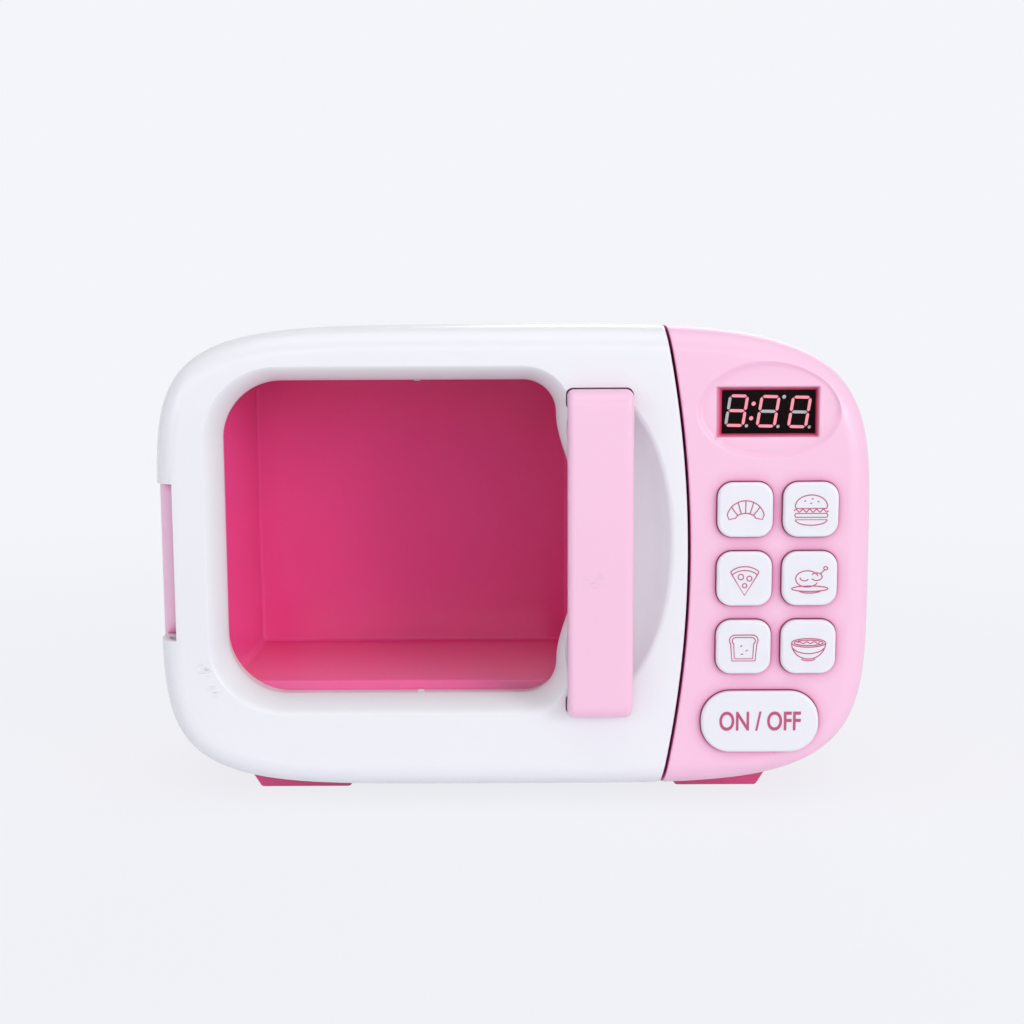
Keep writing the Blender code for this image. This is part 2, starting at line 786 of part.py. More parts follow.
def make_door_front():
    """White outer shell of the door, with flared window, finger dish, handle sockets and hinge lugs."""
    left, bottom, top = front_left_x, front_low_z, front_high_z
    shell = front_form("door_front_form", 0, front_back_y)
    boolean(shell, split_cylinder("door_right_edge", -split_gap / 2), "INTERSECT")
    hollow = front_form("door_hollow", wall, front_back_y + overrun)
    boolean(hollow, split_cylinder("door_hollow_right", -split_gap / 2 - wall), "INTERSECT")
    cut(shell, hollow)

    skin = wall / 2
    add(shell, window_funnel("window_rim", wall, skin))
    dish_skin = dish("dish_skin", wall)
    front_of_skin = block(
        "dish_front_waste",
        (left - overrun, split_x + overrun),
        (face_y - front_depth, face_y + skin),
        (bottom - overrun, top + overrun),
    )
    cut(dish_skin, front_of_skin)
    add(shell, dish_skin)

    half_socket = tenon_width / 2 + gap + socket_wall
    socket_back = face_y + handle_seat + gap + tenon_depth + gap + socket_wall
    inner = []
    for number, z in enumerate(tenon_middles()):
        half_height = tenon_height / 2 + gap + socket_wall
        sides = (handle_x - half_socket, handle_x + half_socket)
        ends = (z - half_height, z + half_height)
        inner.append(block(f"handle_socket_{number + 1}", sides, (face_y, socket_back), ends))
    for number, (x, z) in enumerate(door_screw_places):
        inner.append(peg(f"door_post_{number + 1}", x, z, face_y, door_post_end(), door_post_radius))
    inner.append(
        block(
            "hinge_lugs",
            (left, lug_right_x),
            (face_y + front_round, front_back_y - join / 2),
            (lug_low_z(), lug_high_z()),
        )
    )
    add(shell, within("door_inner_solids", front_form("door_core", skin, front_back_y + overrun), *inner))

    cut(shell, window_funnel("window_cut", 0, -overrun), dish("dish_cut", 0))
    for number, (low, high) in enumerate(handle_seats()):
        seat = rounded(
            handle_x - handle_width / 2 - gap,
            handle_x + handle_width / 2 + gap,
            low - gap,
            high + gap,
            handle_edge_round,
        )
        cut(shell, slab(f"handle_seat_{number + 1}", seat, face_y - overrun, face_y + handle_seat))
    for number, z in enumerate(tenon_middles()):
        cut(
            shell,
            block(
                f"tenon_slot_{number + 1}",
                (handle_x - tenon_width / 2 - gap, handle_x + tenon_width / 2 + gap),
                (face_y, socket_back - socket_wall),
                (z - tenon_height / 2 - gap, z + tenon_height / 2 + gap),
            ),
            peg(
                f"handle_screw_hole_{number + 1}",
                handle_x,
                z,
                socket_back - socket_wall - join,
                socket_back + overrun,
                screw_hole_radius,
            ),
        )
    for number, (x, z) in enumerate(door_screw_places):
        end = door_post_end()
        start = end - small_shank_length
        cut(shell, peg(f"door_pilot_{number + 1}", x, z, start, end + overrun, screw_hole_radius))
    notch = (knuckle_low_z - knuckle_gap, knuckle_high_z + knuckle_gap)
    through = (face_y - overrun, front_back_y + overrun)
    neck_room = (hinge_x, hinge_neck_right_x + knuckle_gap)
    cut(
        shell,
        block("hinge_notch", (left - overrun, knuckle_visible_x), through, notch),
        rod(
            "hinge_notch_round",
            hinge_axis_point(notch[0]),
            hinge_axis_point(notch[1]),
            knuckle_radius + knuckle_gap,
            sides=round_sides,
        ),
        block("hinge_neck_room", neck_room, (hinge_y, front_back_y + overrun), notch),
        rod(
            "lug_bore",
            hinge_axis_point(lug_low_z() + lug_floor),
            hinge_axis_point(lug_high_z() + overrun),
            pin_radius + pin_running,
            sides=round_sides,
        ),
        door_heel("door_heel", bottom - overrun, top + overrun),
    )
    return on_door(part(shell, "door_front", white))


def tenon_middles():
    """Heights of the two tenons that hold the handle."""
    return (handle_low_z + handle_leg / 2, handle_high_z - handle_leg / 2)


def handle_seats():
    """Low and high end of the two shallow seats for the handle's ends."""
    return (
        (handle_low_z, handle_low_z + handle_leg),
        (handle_high_z - handle_leg, handle_high_z),
    )


def door_post_end():
    return front_back_y - small_head_height - screw_slack - door_seat_floor - gap


def lug_low_z():
    return knuckle_low_z - knuckle_gap - lug_height


def lug_high_z():
    return knuckle_high_z + knuckle_gap + lug_height


def pane_back_y():
    return face_y + window_depth + gap + pane_thickness


def on_door(piece):
    """Hangs a piece on the door's hinge without moving it."""
    piece.parent = door_axis
    piece.matrix_parent_inverse = Matrix.Translation(door_axis.location).inverted()
    return piece


def make_door_back():
    """White inner frame that closes the door, clamps the window and carries the latch tongue."""
    plate_front = front_back_y - door_back_thickness
    frame = slab("door_back_plate", front_outline(wall + gap), plate_front, front_back_y)
    boolean(frame, split_cylinder("door_back_right", -split_gap / 2 - wall - gap), "INTERSECT")
    sleeve = window_outline(pane_lap)
    add(frame, slab("window_sleeve", sleeve, pane_back_y() + gap, front_back_y - join))
    seat_front = door_post_end() + gap
    for number, (x, z) in enumerate(door_screw_places):
        seat = (seat_front, front_back_y - join / 2, door_seat_radius)
        add(frame, peg(f"door_seat_{number + 1}", x, z, *seat))
    half_latch = latch_thickness / 2
    add(
        frame,
        block(
            "latch_tongue",
            (latch_x - half_latch, latch_x + half_latch),
            (plate_front + join, front_back_y + latch_reach),
            (latch_z - latch_height / 2, latch_z + latch_height / 2),
        ),
    )
    sleeve_hole = window_outline(pane_lap - wall)
    back = front_back_y + overrun
    cut(frame, slab("window_sleeve_cut", sleeve_hole, pane_back_y() - overrun, back))
    seat = front_back_y - small_head_height - screw_slack
    for number, (x, z) in enumerate(door_screw_places):
        cut(
            frame,
            peg(f"door_head_{number + 1}", x, z, seat, back, small_head_radius + screw_slack),
            peg(f"door_clear_{number + 1}", x, z, seat_front - overrun, seat + join / 2, screw_hole_radius),
        )
    low, high = tab_range()
    for name, edge, inside in (("low", low, 1), ("high", high, -1)):
        ends = sorted((edge - inside * wall, edge + inside * tab_proud))
        add(
            frame,
            block(
                f"window_tab_{name}",
                (tab_x - tab_width / 2, tab_x + tab_width / 2),
                (pane_back_y() + gap, pane_back_y() + gap + tab_depth),
                ends,
            ),
        )
    cut(
        frame,
        block(
            "hinge_room",
            (front_left_x, lug_right_x + gap),
            (plate_front - overrun, front_back_y + overrun),
            (lug_low_z() - gap, lug_high_z() + gap),
        ),
        door_heel("door_back_heel", front_low_z - overrun, front_high_z + overrun),
    )
    return on_door(part(frame, "door_back", white))


def tab_range():
    """Lower and upper edge of the sleeve behind the pane."""
    grow = pane_lap - wall
    return (window_floor_z - grow, window_roof_z + grow)


def make_window_pane():
    pane = slab("pane", window_outline(pane_lap), pane_back_y() - pane_thickness, pane_back_y())
    return on_door(part(pane, "window_pane", clear))


def make_handle():
    """Pink bar whose ends curve back to two seats in the door's face."""
    back = face_y + handle_seat - gap
    front = face_y - handle_proud
    half = handle_width / 2
    outer, inner = handle_end_radius, handle_inner_radius
    outer_y, inner_y = front + outer, front + handle_bar + inner
    outer_steps, inner_steps = handle_arc_steps
    low_leg, high_leg = handle_low_z + handle_leg, handle_high_z - handle_leg
    arch = [
        (back, handle_low_z),
        *arc(outer_y, handle_low_z + outer, outer, 270, 180, outer_steps),
        *arc(outer_y, handle_high_z - outer, outer, 180, 90, outer_steps),
        (back, handle_high_z),
        (back, high_leg),
        *arc(inner_y, high_leg - inner, inner, 90, 180, inner_steps),
        *arc(inner_y, low_leg + inner, inner, 180, 270, inner_steps),
        (back, low_leg),
    ]
    rings = [[(x, y, z) for y, z in arch] for x in (handle_x - half, handle_x + half)]
    bar = loft("handle_bar", rings)
    edges = bar.modifiers.new("edges", "BEVEL")
    edges.width = handle_edge_round
    edges.segments = handle_edge_steps
    edges.limit_method = "ANGLE"
    edges.angle_limit = math.radians(handle_sharp_angle)
    for number, z in enumerate(tenon_middles()):
        tenon_back = face_y + handle_seat + gap + tenon_depth
        add(
            bar,
            block(
                f"tenon_{number + 1}",
                (handle_x - tenon_width / 2, handle_x + tenon_width / 2),
                (back - join, tenon_back),
                (z - tenon_height / 2, z + tenon_height / 2),
            ),
        )
        cut(
            bar,
            peg(
                f"tenon_pilot_{number + 1}",
                handle_x,
                z,
                tenon_back - small_shank_length,
                tenon_back + overrun,
                screw_hole_radius,
            ),
        )
    return on_door(part(bar, "door_handle", pale_pink))


def make_door_screws():
    seat = face_y + handle_seat + gap + tenon_depth + gap + socket_wall
    for number, z in enumerate(tenon_middles()):
        on_door(small_screw(f"handle_screw_{number + 1}", handle_x, seat + gap / 2, z))
    seat = front_back_y - small_head_height
    for number, (x, z) in enumerate(door_screw_places):
        on_door(small_screw(f"door_screw_{number + 1}", x, seat - screw_slack / 2, z))


def make_hinge():
    """Pale pink hinge block with its barrel and two posts, its steel pin, and the screws behind."""
    ends = (hinge_axis_point(knuckle_low_z), hinge_axis_point(knuckle_high_z))
    barrel = rod("hinge_barrel", *ends, knuckle_radius, sides=round_sides)
    left = case_left_x + gap
    base_back = case_y + hinge_base_thickness
    add(
        barrel,
        block(
            "hinge_neck",
            (left, hinge_neck_right_x),
            (hinge_y, base_back),
            (knuckle_low_z + hinge_base_inset, knuckle_high_z - hinge_base_inset),
        ),
        block(
            "hinge_base",
            (left, hinge_base_right_x),
            (case_y, base_back),
            (knuckle_low_z + hinge_base_inset, knuckle_high_z - hinge_base_inset),
        ),
    )
    post_end = hinge_seat_back() - gap
    pilot = (post_end - small_shank_length, post_end + overrun, screw_hole_radius)
    for number, z in enumerate(hinge_post_heights()):
        post = (base_back - join, post_end, hinge_post_radius)
        add(barrel, peg(f"hinge_post_{number + 1}", hinge_post_x, z, *post))
        cut(barrel, peg(f"hinge_pilot_{number + 1}", hinge_post_x, z, *pilot))
    cut(
        barrel,
        rod(
            "barrel_bore",
            hinge_axis_point(knuckle_low_z - overrun),
            hinge_axis_point(knuckle_high_z + overrun),
            pin_radius + pin_running,
            sides=round_sides,
        ),
    )
    part(barrel, "hinge_block", pale_pink)
    ends = (hinge_axis_point(lug_low_z() + lug_floor + gap), hinge_axis_point(lug_high_z() - gap))
    part(rod("pin", *ends, pin_radius, sides=round_sides), "hinge_pin", steel)
    head = (hinge_screw_head_radius, small_head_height)
    for number, z in enumerate(hinge_post_heights()):
        small_screw(f"hinge_screw_{number + 1}", hinge_post_x, hinge_seat_back() + gap / 2, z, head)


def hinge_seat_back():
    return case_plate_back_y + hinge_seat_depth


def hinge_post_heights():
    return (knuckle_low_z + hinge_post_inset, knuckle_high_z - hinge_post_inset)


def cavity_form(name, grow, front, back):
    """The cavity as a tapered box with round corners, moved out by grow."""
    rings = []
    for y, inset in ((front, 0), (back, cavity_draft)):
        outline = rounded(
            cavity_left_x - grow + inset,
            cavity_right_x + grow - inset,
            cavity_floor_z - grow,
            cavity_roof_z + grow,
            cavity_radius,
        )
        rings.append([(x, y, z) for x, z in outline])
    return loft(name, rings)


def make_front_chassis():
    """Hot pink front frame of the case, with the cavity moulded in."""
    plate_back, lip_back = case_plate_back_y, case_plate_back_y + case_lip_depth
    frame = slab("chassis_plate", case_outline(), case_y, plate_back, front_edge=case_plate_round)
    lip = slab("chassis_lip", case_outline(wall + gap), plate_back - join, lip_back)
    inner = case_outline(wall + gap + case_lip_wall)
    cut(lip, slab("chassis_lip_cut", inner, plate_back - overrun, lip_back + overrun))
    add(frame, lip)
    add(frame, cavity_form("cavity_box", cavity_wall, plate_back - join, cavity_back_y + cavity_wall))
    low, high = knuckle_low_z + hinge_base_inset, knuckle_high_z - hinge_base_inset
    seat_left = case_left_x + wall + 2 * gap
    add(
        frame,
        block(
            "hinge_seat",
            (seat_left, cavity_left_x - cavity_wall + join),
            (plate_back - join, hinge_seat_back()),
            (low - hinge_seat_rim, high + hinge_seat_rim),
        ),
    )
    end = plate_back + case_post_depth
    for number, (x, z) in enumerate(case_screw_places):
        add(frame, peg(f"chassis_post_{number + 1}", x, z, plate_back - join, end, case_post_radius))
        pilot = (plate_back - join, end + overrun, case_hole_radius)
        cut(frame, peg(f"chassis_pilot_{number + 1}", x, z, *pilot))
    through = (case_y - overrun, plate_back + overrun)
    half_latch, half_tongue = latch_thickness / 2 + latch_slack, latch_height / 2 + latch_slack
    cut(frame, cavity_form("cavity_cut", 0, case_y - overrun, cavity_back_y))
    cut(
        frame,
        block(
            "hinge_pocket",
            (seat_left - wall - overrun, hinge_base_right_x + gap),
            (case_y - overrun, case_y + hinge_base_thickness + gap),
            (low - gap, high + gap),
        ),
        rod(
            "barrel_room",
            hinge_axis_point(knuckle_low_z - gap),
            hinge_axis_point(knuckle_high_z + gap),
            knuckle_radius + gap,
            sides=round_sides,
        ),
        block(
            "latch_slot",
            (latch_x - half_latch, latch_x + half_latch),
            through,
            (latch_z - half_tongue, latch_z + half_tongue),
        ),
        block(
            "wire_port",
            (wire_port_x - wire_port_width / 2, wire_port_x + wire_port_width / 2),
            through,
            (wire_port_z - wire_port_height / 2, wire_port_z + wire_port_height / 2),
        ),
    )
    post_room = (case_y, hinge_seat_back() + overrun, hinge_post_radius + gap)
    for number, z in enumerate(hinge_post_heights()):
        cut(frame, peg(f"hinge_post_hole_{number + 1}", hinge_post_x, z, *post_room))
    head_room = (plate_back, lip_back + overrun, small_head_radius + gap)
    for number, (x, z) in enumerate(panel_screw_places):
        cut(
            frame,
            peg(f"panel_screw_hole_{number + 1}", x, z, *through, screw_hole_radius),
            peg(f"panel_head_room_{number + 1}", x, z, *head_room),
        )
    return part(frame, "front_chassis", hot_pink)


def bay_high_z():
    """Top of the battery bay: a cell, its nub, two contacts and a gap at each meeting."""
    stack = cell_length + 2 * (contact_thickness + contact_bump)
    return bay_low_z + stack + 4 * gap


def bay_half_width():
    return cell_count * cell_pitch / 2 + gap


def cover_y():
    """Front face of the battery cover."""
    return back_y - cover_thickness


def cell_y():
    return cover_y() - gap - cell_radius


def cover_box(grow):
    """Left, right, low and high side of the battery cover, moved out by grow."""
    half = bay_half_width() + cover_margin + grow
    return (bay_x - half, bay_x + half, bay_low_z - cover_margin - grow, bay_high_z() + cover_head + grow)


def cover_screw_z():
    return bay_high_z() + cover_head / 2 + bay_wall / 2


def make_rear_housing():
    """Hot pink tub with feet, battery bay, speaker seat and screw tubes."""
    tub = slab(
        "housing_form", case_outline(), housing_y, back_y, back_edge=case_back_round, steps=front_round_steps
    )
    for side, (low_x, high_x) in zip(("left", "right"), foot_spans):
        for end, front in (("front", foot_front_y), ("rear", foot_rear_y)):
            rings = []
            for z, flare, side_flare in ((0, 0, 0), (foot_top_z, foot_flare, foot_side_flare)):
                across = (low_x - flare, high_x + flare)
                along = (front - side_flare, front + foot_length + side_flare)
                rings.append(rectangle_ring(across, along, z))
            foot = loft(f"foot_{end}_{side}", rings)
            edges = foot.modifiers.new("edges", "BEVEL")
            edges.width = foot_edge_round
            edges.segments = 1
            add(tub, foot)
    hollow = slab(
        "housing_hollow",
        case_outline(wall),
        housing_y - overrun,
        housing_inner_y,
        back_edge=case_back_round - wall,
        steps=hidden_round_steps,
    )
    cut(tub, hollow)

    half = bay_half_width()
    bay_floor = cell_y() - cell_radius - gap
    left, right, low, high = cover_box(gap + wall)
    ring_front = speaker_seat_y - speaker_ring_depth
    ring_radius = speaker_radius + gap + speaker_ring_wall
    speaker_place = (speaker_x, speaker_z)
    post_front = cover_y() - gap - cover_post_depth
    pilot_front = post_front + gap + wall
    inner = [
        block(
            "bay_box",
            (bay_x - half - bay_wall, bay_x + half + bay_wall),
            (bay_floor - bay_wall, back_y),
            (bay_low_z - bay_wall, bay_high_z() + bay_wall),
        ),
        block("bay_frame", (left, right), (cover_y() - gap - cover_ledge, back_y), (low, high)),
        peg("cover_post", bay_x, cover_screw_z(), post_front, back_y, cover_post_radius),
        peg("speaker_ring", *speaker_place, ring_front, back_y, ring_radius, sides=round_sides),
    ]
    for number, (x, z) in enumerate(case_screw_places):
        inner.append(peg(f"screw_tube_{number + 1}", x, z, screw_tube_y(), back_y, case_post_radius))
    skin = wall / 2
    core = slab(
        "housing_core",
        case_outline(skin),
        housing_y,
        back_y - skin,
        back_edge=case_back_round - skin,
        steps=hidden_round_steps,
    )
    add(tub, within("housing_inner_solids", core, *inner))

    left, right, low, high = cover_box(gap)
    ledge = rounded(left, right, low, high, cover_radius)
    sides, ends = (bay_x - half, bay_x + half), (bay_low_z, bay_high_z())
    speaker_room = (ring_front - overrun, speaker_seat_y + gap, speaker_radius + gap)
    speaker_mouth = (speaker_seat_y, housing_inner_y, speaker_seat_radius)
    cut(
        tub,
        block("bay_room", sides, (bay_floor, back_y + overrun), ends),
        slab("cover_ledge", ledge, cover_y() - gap, back_y + overrun),
        block(
            "cover_tab_slot",
            (bay_x - cover_tab_width / 2 - gap, bay_x + cover_tab_width / 2 + gap),
            (tab_front_y() - gap, tab_front_y() + cover_tab_thickness + gap),
            (low - cover_tab_reach, bay_low_z + join),
        ),
        peg("cover_pilot", bay_x, cover_screw_z(), pilot_front, back_y + overrun, screw_hole_radius),
        peg("speaker_room", *speaker_place, *speaker_room, sides=round_sides),
        peg("speaker_mouth", *speaker_place, *speaker_mouth, sides=round_sides),
    )
    for number in range(grille_slots):
        rise = (number - (grille_slots - 1) / 2) * grille_pitch
        half_slot = math.sqrt((speaker_seat_radius - grille_slot) ** 2 - rise**2)
        cut(
            tub,
            slab(
                f"grille_slot_{number + 1}",
                rounded(
                    speaker_x - half_slot,
                    speaker_x + half_slot,
                    speaker_z + rise - grille_slot / 2,
                    speaker_z + rise + grille_slot / 2,
                    grille_slot / 2 - weld,
                    steps=2,
                ),
                housing_inner_y - join,
                back_y + overrun,
            ),
        )
    floor = screw_tube_y() + case_seat_floor
    for number, (x, z) in enumerate(case_screw_places):
        cut(
            tub,
            peg(f"tube_bore_{number + 1}", x, z, floor, back_y + overrun, case_bore_radius),
            peg(f"tube_hole_{number + 1}", x, z, screw_tube_y() - overrun, floor + join, case_hole_radius),
        )
    return part(tub, "rear_housing", hot_pink)


def tab_front_y():
    return cover_y() - gap - cover_tab_thickness - gap


def screw_tube_y():
    return case_plate_back_y + case_post_depth + gap


def make_case_screws():
    seat = screw_tube_y() + case_seat_floor + gap / 2
    for number, (x, z) in enumerate(case_screw_places):
        screw(f"case_screw_{number + 1}", x, seat, z, case_head, case_shank_radius, case_shank_length)
    for number, (x, z) in enumerate(panel_screw_places):
        small_screw(f"panel_screw_{number + 1}", x, case_plate_back_y + gap / 2, z)


def make_battery_bay():
    """Cells, contacts, cover and the cover's screw."""
    half = bay_half_width()
    low_contact = (bay_low_z + gap, bay_low_z + gap + contact_thickness)
    high_contact = (bay_high_z() - gap - contact_thickness, bay_high_z() - gap)
    contact_room = (cell_y() - cell_radius + contact_inset, cell_y() + cell_radius - contact_inset)
    sides = (bay_x - half + gap, bay_x + half - gap)
    columns = [bay_x + (i - (cell_count - 1) / 2) * cell_pitch for i in range(cell_count)]
    for end, (low, high), inside in (("low", low_contact, 1), ("high", high_contact, -1)):
        name = f"battery_contact_{end}"
        face = high if inside > 0 else low
        plate = block(f"{name}_plate", sides, contact_room, (low, high))
        for number, x in enumerate(columns):
            bump = rod(
                f"{name}_bump_{number + 1}",
                (x, cell_y(), face - inside * contact_thickness / 2),
                (x, cell_y(), face + inside * contact_bump),
                contact_bump_radius,
                contact_tip_radius,
                sides=small_sides,
            )
            add(plate, bump)
        part(plate, name, steel)
    base = low_contact[1] + contact_bump + gap
    shoulder = cell_length - cell_nub_height
    profile = (
        (0, cell_length),
        (cell_nub_radius, cell_length),
        (cell_nub_radius, shoulder),
        (cell_radius - cell_edge, shoulder),
        (cell_radius, shoulder - cell_edge),
        (cell_radius, cell_edge),
        (cell_radius - cell_edge, 0),
        (0, 0),
    )
    for number, x in enumerate(columns):
        up = number % 2 == 0
        start = (x, cell_y(), base if up else base + cell_length)
        cell = turned(f"cell_{number + 1}", profile, start, (0, 0, 1 if up else -1), cell_sides)
        part(cell, f"battery_{number + 1}", cell_grey)

    left, right, low, high = cover_box(0)
    cover = slab("cover_plate", rounded(left, right, low, high, cover_radius - gap), cover_y(), back_y)
    tab_sides = (bay_x - cover_tab_width / 2, bay_x + cover_tab_width / 2)
    tab_y = (tab_front_y(), tab_front_y() + cover_tab_thickness)
    add(
        cover,
        block("cover_tab_root", tab_sides, (tab_y[0], cover_y() + join), (low + gap, bay_low_z)),
        block("cover_tab", tab_sides, tab_y, (low - cover_tab_reach + gap, bay_low_z - gap / 2)),
    )
    seat = cover_y() + cover_seat_floor
    place = (bay_x, cover_screw_z())
    cut(
        cover,
        peg("cover_screw_hole", *place, cover_y() - overrun, back_y + overrun, screw_hole_radius),
        peg("cover_screw_seat", *place, seat, back_y + overrun, small_head_radius + screw_slack),
    )
    part(cover, "battery_cover", hot_pink)
    head = (small_head_radius, back_y - seat - screw_slack)
    small_screw("battery_cover_screw", bay_x, seat + screw_slack / 2, cover_screw_z(), head)


def make_speaker():
    profile = (
        (0, 0),
        (speaker_seat_radius, 0),
        (speaker_radius, 0),
        (speaker_radius, -speaker_rim),
        (speaker_magnet_radius, -speaker_depth + speaker_rim),
        (speaker_magnet_radius, -speaker_depth),
        (0, -speaker_depth),
    )
    body = turned("speaker_body", profile, (speaker_x, speaker_seat_y, speaker_z), (0, 1, 0), round_sides)
    part(body, "speaker", black)


def board_front_y():
    """The board lies behind the display and the keypad."""
    return flange_back_y() + gap + dome_height + mat_thickness + gap


def flange_back_y():
    return inner_face_y + gap + button_flange_thickness


def button_places():
    return [(x, z) for z in button_rows for x in button_columns]


def button_outline(grow=0):
    half = button_size / 2 + grow
    return rounded(-half, half, -half, half, button_radius + grow)


def start_outline(grow=0):
    half_width, half_height = start_width / 2 + grow, start_height / 2 + grow
    return rounded(-half_width, half_width, -half_height, half_height, start_radius + grow, steps=start_corner_steps)


def moved(outline, x, z):
    return [(px + x, pz + z) for px, pz in outline]


def make_control_panel():
    """Pale pink shell with the display's bezel, button openings and posts."""
    shell = front_form("panel_form", 0, front_back_y)
    cut(shell, split_cylinder("panel_left_edge", split_gap / 2))
    hollow = front_form("panel_hollow", wall, front_back_y + overrun)
    cut(hollow, split_cylinder("panel_hollow_left", split_gap / 2 + wall))
    cut(shell, hollow)

    skin = wall / 2
    bezel_back = face_y + display_depth - gap
    rim = display_flare + display_rim
    add(
        shell,
        block(
            "bezel",
            (display_left_x - rim, display_right_x + rim),
            (face_y + skin, bezel_back),
            (display_low_z - rim, display_high_z + rim),
        ),
    )
    posts = []
    for number, (x, z) in enumerate(board_screw_places):
        posts.append(peg(f"board_post_{number + 1}", x, z, face_y, board_front_y() - gap, board_post_radius))
    for number, (x, z) in enumerate(panel_screw_places):
        posts.append(peg(f"panel_post_{number + 1}", x, z, face_y, front_back_y, panel_post_radius))
    add(shell, within("panel_posts", front_form("panel_core", skin, front_back_y + overrun), *posts))

    rings = []
    for depth, inset in ((-overrun, 0), (0, 0), (pad_lip_depth, pad_lip_slope), (pad_depth, pad_slope)):
        wide, high = pad_half_width - inset, pad_half_height - inset
        turns = [2 * math.pi * step / pad_sides for step in range(pad_sides)]
        outline = [(pad_x + wide * math.cos(turn), pad_z + high * math.sin(turn)) for turn in turns]
        rings.append([(x, face_y + depth, z) for x, z in outline])
    cut(shell, loft("pad_recess", rings))
    rings = []
    for y, flare in (
        (face_y - overrun, display_flare),
        (face_y + pad_depth, display_flare),
        (bezel_back - join, 0),
        (bezel_back + overrun, 0),
    ):
        left, right = display_left_x - flare, display_right_x + flare
        low, high = display_low_z - flare, display_high_z + flare
        rings.append([(left, y, low), (right, y, low), (right, y, high), (left, y, high)])
    cut(shell, loft("display_opening", rings))
    for number, (x, z) in enumerate(button_places()):
        hole = moved(button_outline(gap), x, z)
        cut(shell, slab(f"button_hole_{number + 1}", hole, face_y - overrun, inner_face_y + overrun))
    hole = moved(start_outline(gap), start_x, start_z)
    cut(shell, slab("start_hole", hole, face_y - overrun, inner_face_y + overrun))
    flange_room = moved(start_outline(start_flange + gap), start_x, start_z)
    cut(shell, slab("start_flange_room", flange_room, inner_face_y + gap / 2, board_front_y()))
    end = board_front_y()
    start = max(end - small_shank_length, inner_face_y)
    for number, (x, z) in enumerate(board_screw_places):
        cut(shell, peg(f"board_pilot_{number + 1}", x, z, start, end + overrun, screw_hole_radius))
    start, end = front_back_y - small_shank_length, front_back_y + overrun
    for number, (x, z) in enumerate(panel_screw_places):
        cut(shell, peg(f"panel_pilot_{number + 1}", x, z, start, end, screw_hole_radius))
    return part(shell, "control_panel", pale_pink)


def make_button(name, outline, flange, x, z):
    """A hollow cap with a flange behind the panel and a plunger over its dome."""
    front = -button_proud
    back = flange_back_y() - face_y
    flange_front = back - button_flange_thickness
    cap = slab(f"{name}_cap", outline(0), front, back, front_edge=button_edge_round)
    add(cap, slab(f"{name}_flange", outline(flange), flange_front, back))
    cut(cap, slab(f"{name}_hollow", outline(-button_wall), front + button_wall, back + overrun))
    add(cap, rod(f"{name}_plunger", (0, front + button_wall / 2, 0), (0, back, 0), plunger_radius))
    part(cap, name, white)
    move_tools = [modifier.object for modifier in cap.modifiers]
    for item in (cap, *move_tools):
        item.location = (x, face_y, z)
    return cap


def make_buttons():
    for number, (x, z) in enumerate(button_places()):
        make_button(f"food_button_{number + 1}", button_outline, button_flange, x, z)
    make_button("start_button", start_outline, start_flange, start_x, start_z)


def make_keypad_mat():
    """One rubber sheet with a dome under each button."""
    back = board_front_y() - gap
    front = back - mat_thickness
    left, right = min(button_columns) - mat_margin, max(button_columns) + mat_margin
    low, high = min(button_rows) - mat_margin, max(button_rows) + mat_margin
    start_sides = (start_x - mat_start_half_width, start_x + mat_start_half_width)
    start_ends = (start_z - mat_start_half_height, low + mat_radius)
    mat = slab("mat_sheet", rounded(left, right, low, high, mat_radius), front, back)
    start_outline_points = rounded(*start_sides, *start_ends, mat_start_radius)
    add(mat, slab("mat_start", start_outline_points, front + mat_start_step, back - mat_start_step))
    for number, (x, z) in enumerate([*button_places(), (start_x, start_z)]):
        dome = rod(
            f"dome_{number + 1}",
            (x, front - dome_height, z),
            (x, front + mat_thickness / 2, z),
            dome_top_radius,
            dome_radius,
            sides=dome_sides,
        )
        add(mat, dome)
    return part(mat, "keypad_mat", rubber_grey)


def make_board():
    front = board_front_y()
    back = front + board_thickness
    outline = rounded(board_left_x, board_right_x, board_low_z, board_high_z, board_radius)
    board = slab("board_sheet", outline, front, back)
    add(
        board,
        block(
            "board_chip",
            (wire_port_x - chip_size / 2, wire_port_x + chip_size / 2),
            (back - board_thickness / 2, back + chip_height),
            (wire_port_z - chip_size / 2, wire_port_z + chip_size / 2),
        ),
    )
    for number, (x, z) in enumerate(board_screw_places):
        hole = (front - overrun, back + overrun, screw_hole_radius)
        cut(board, peg(f"board_hole_{number + 1}", x, z, *hole))
        small_screw(f"board_screw_{number + 1}", x, back + gap / 2, z)
    part(board, "circuit_board", board_green)
    module = block(
        "display_block",
        (display_left_x - display_lap, display_right_x + display_lap),
        (face_y + display_depth, front - gap),
        (display_low_z - display_lap, display_high_z + display_lap),
    )
    return part(module, "display_module", black)


for old in list(bpy.data.objects):
    bpy.data.objects.remove(old)

parts = collection("toy_microwave")
tools = collection("cutters", helper=True)

white = finish("white_plastic", "EBEBF3", 0.25)
pale_pink = finish("pale_pink_plastic", "F4C7E4", 0.25)
hot_pink = finish("hot_pink_plastic", "D5407C", 0.25)
clear = finish("clear_plastic", "FFFFFF", 0.05, alpha=0.2)
steel = finish("steel", "B9BBC0", 0.3, metallic=1.0)
black = finish("black_plastic", "1B1214", 0.3)
rubber_grey = finish("grey_rubber", "B8B8BC", 0.8)
board_green = finish("board_green", "2E6B46", 0.5)
cell_grey = finish("cell_grey", "8C8F98", 0.35)

door_axis = bpy.data.objects.new("door_hinge_axis", None)
door_axis.location = hinge_axis_point(0)
parts.objects.link(door_axis)

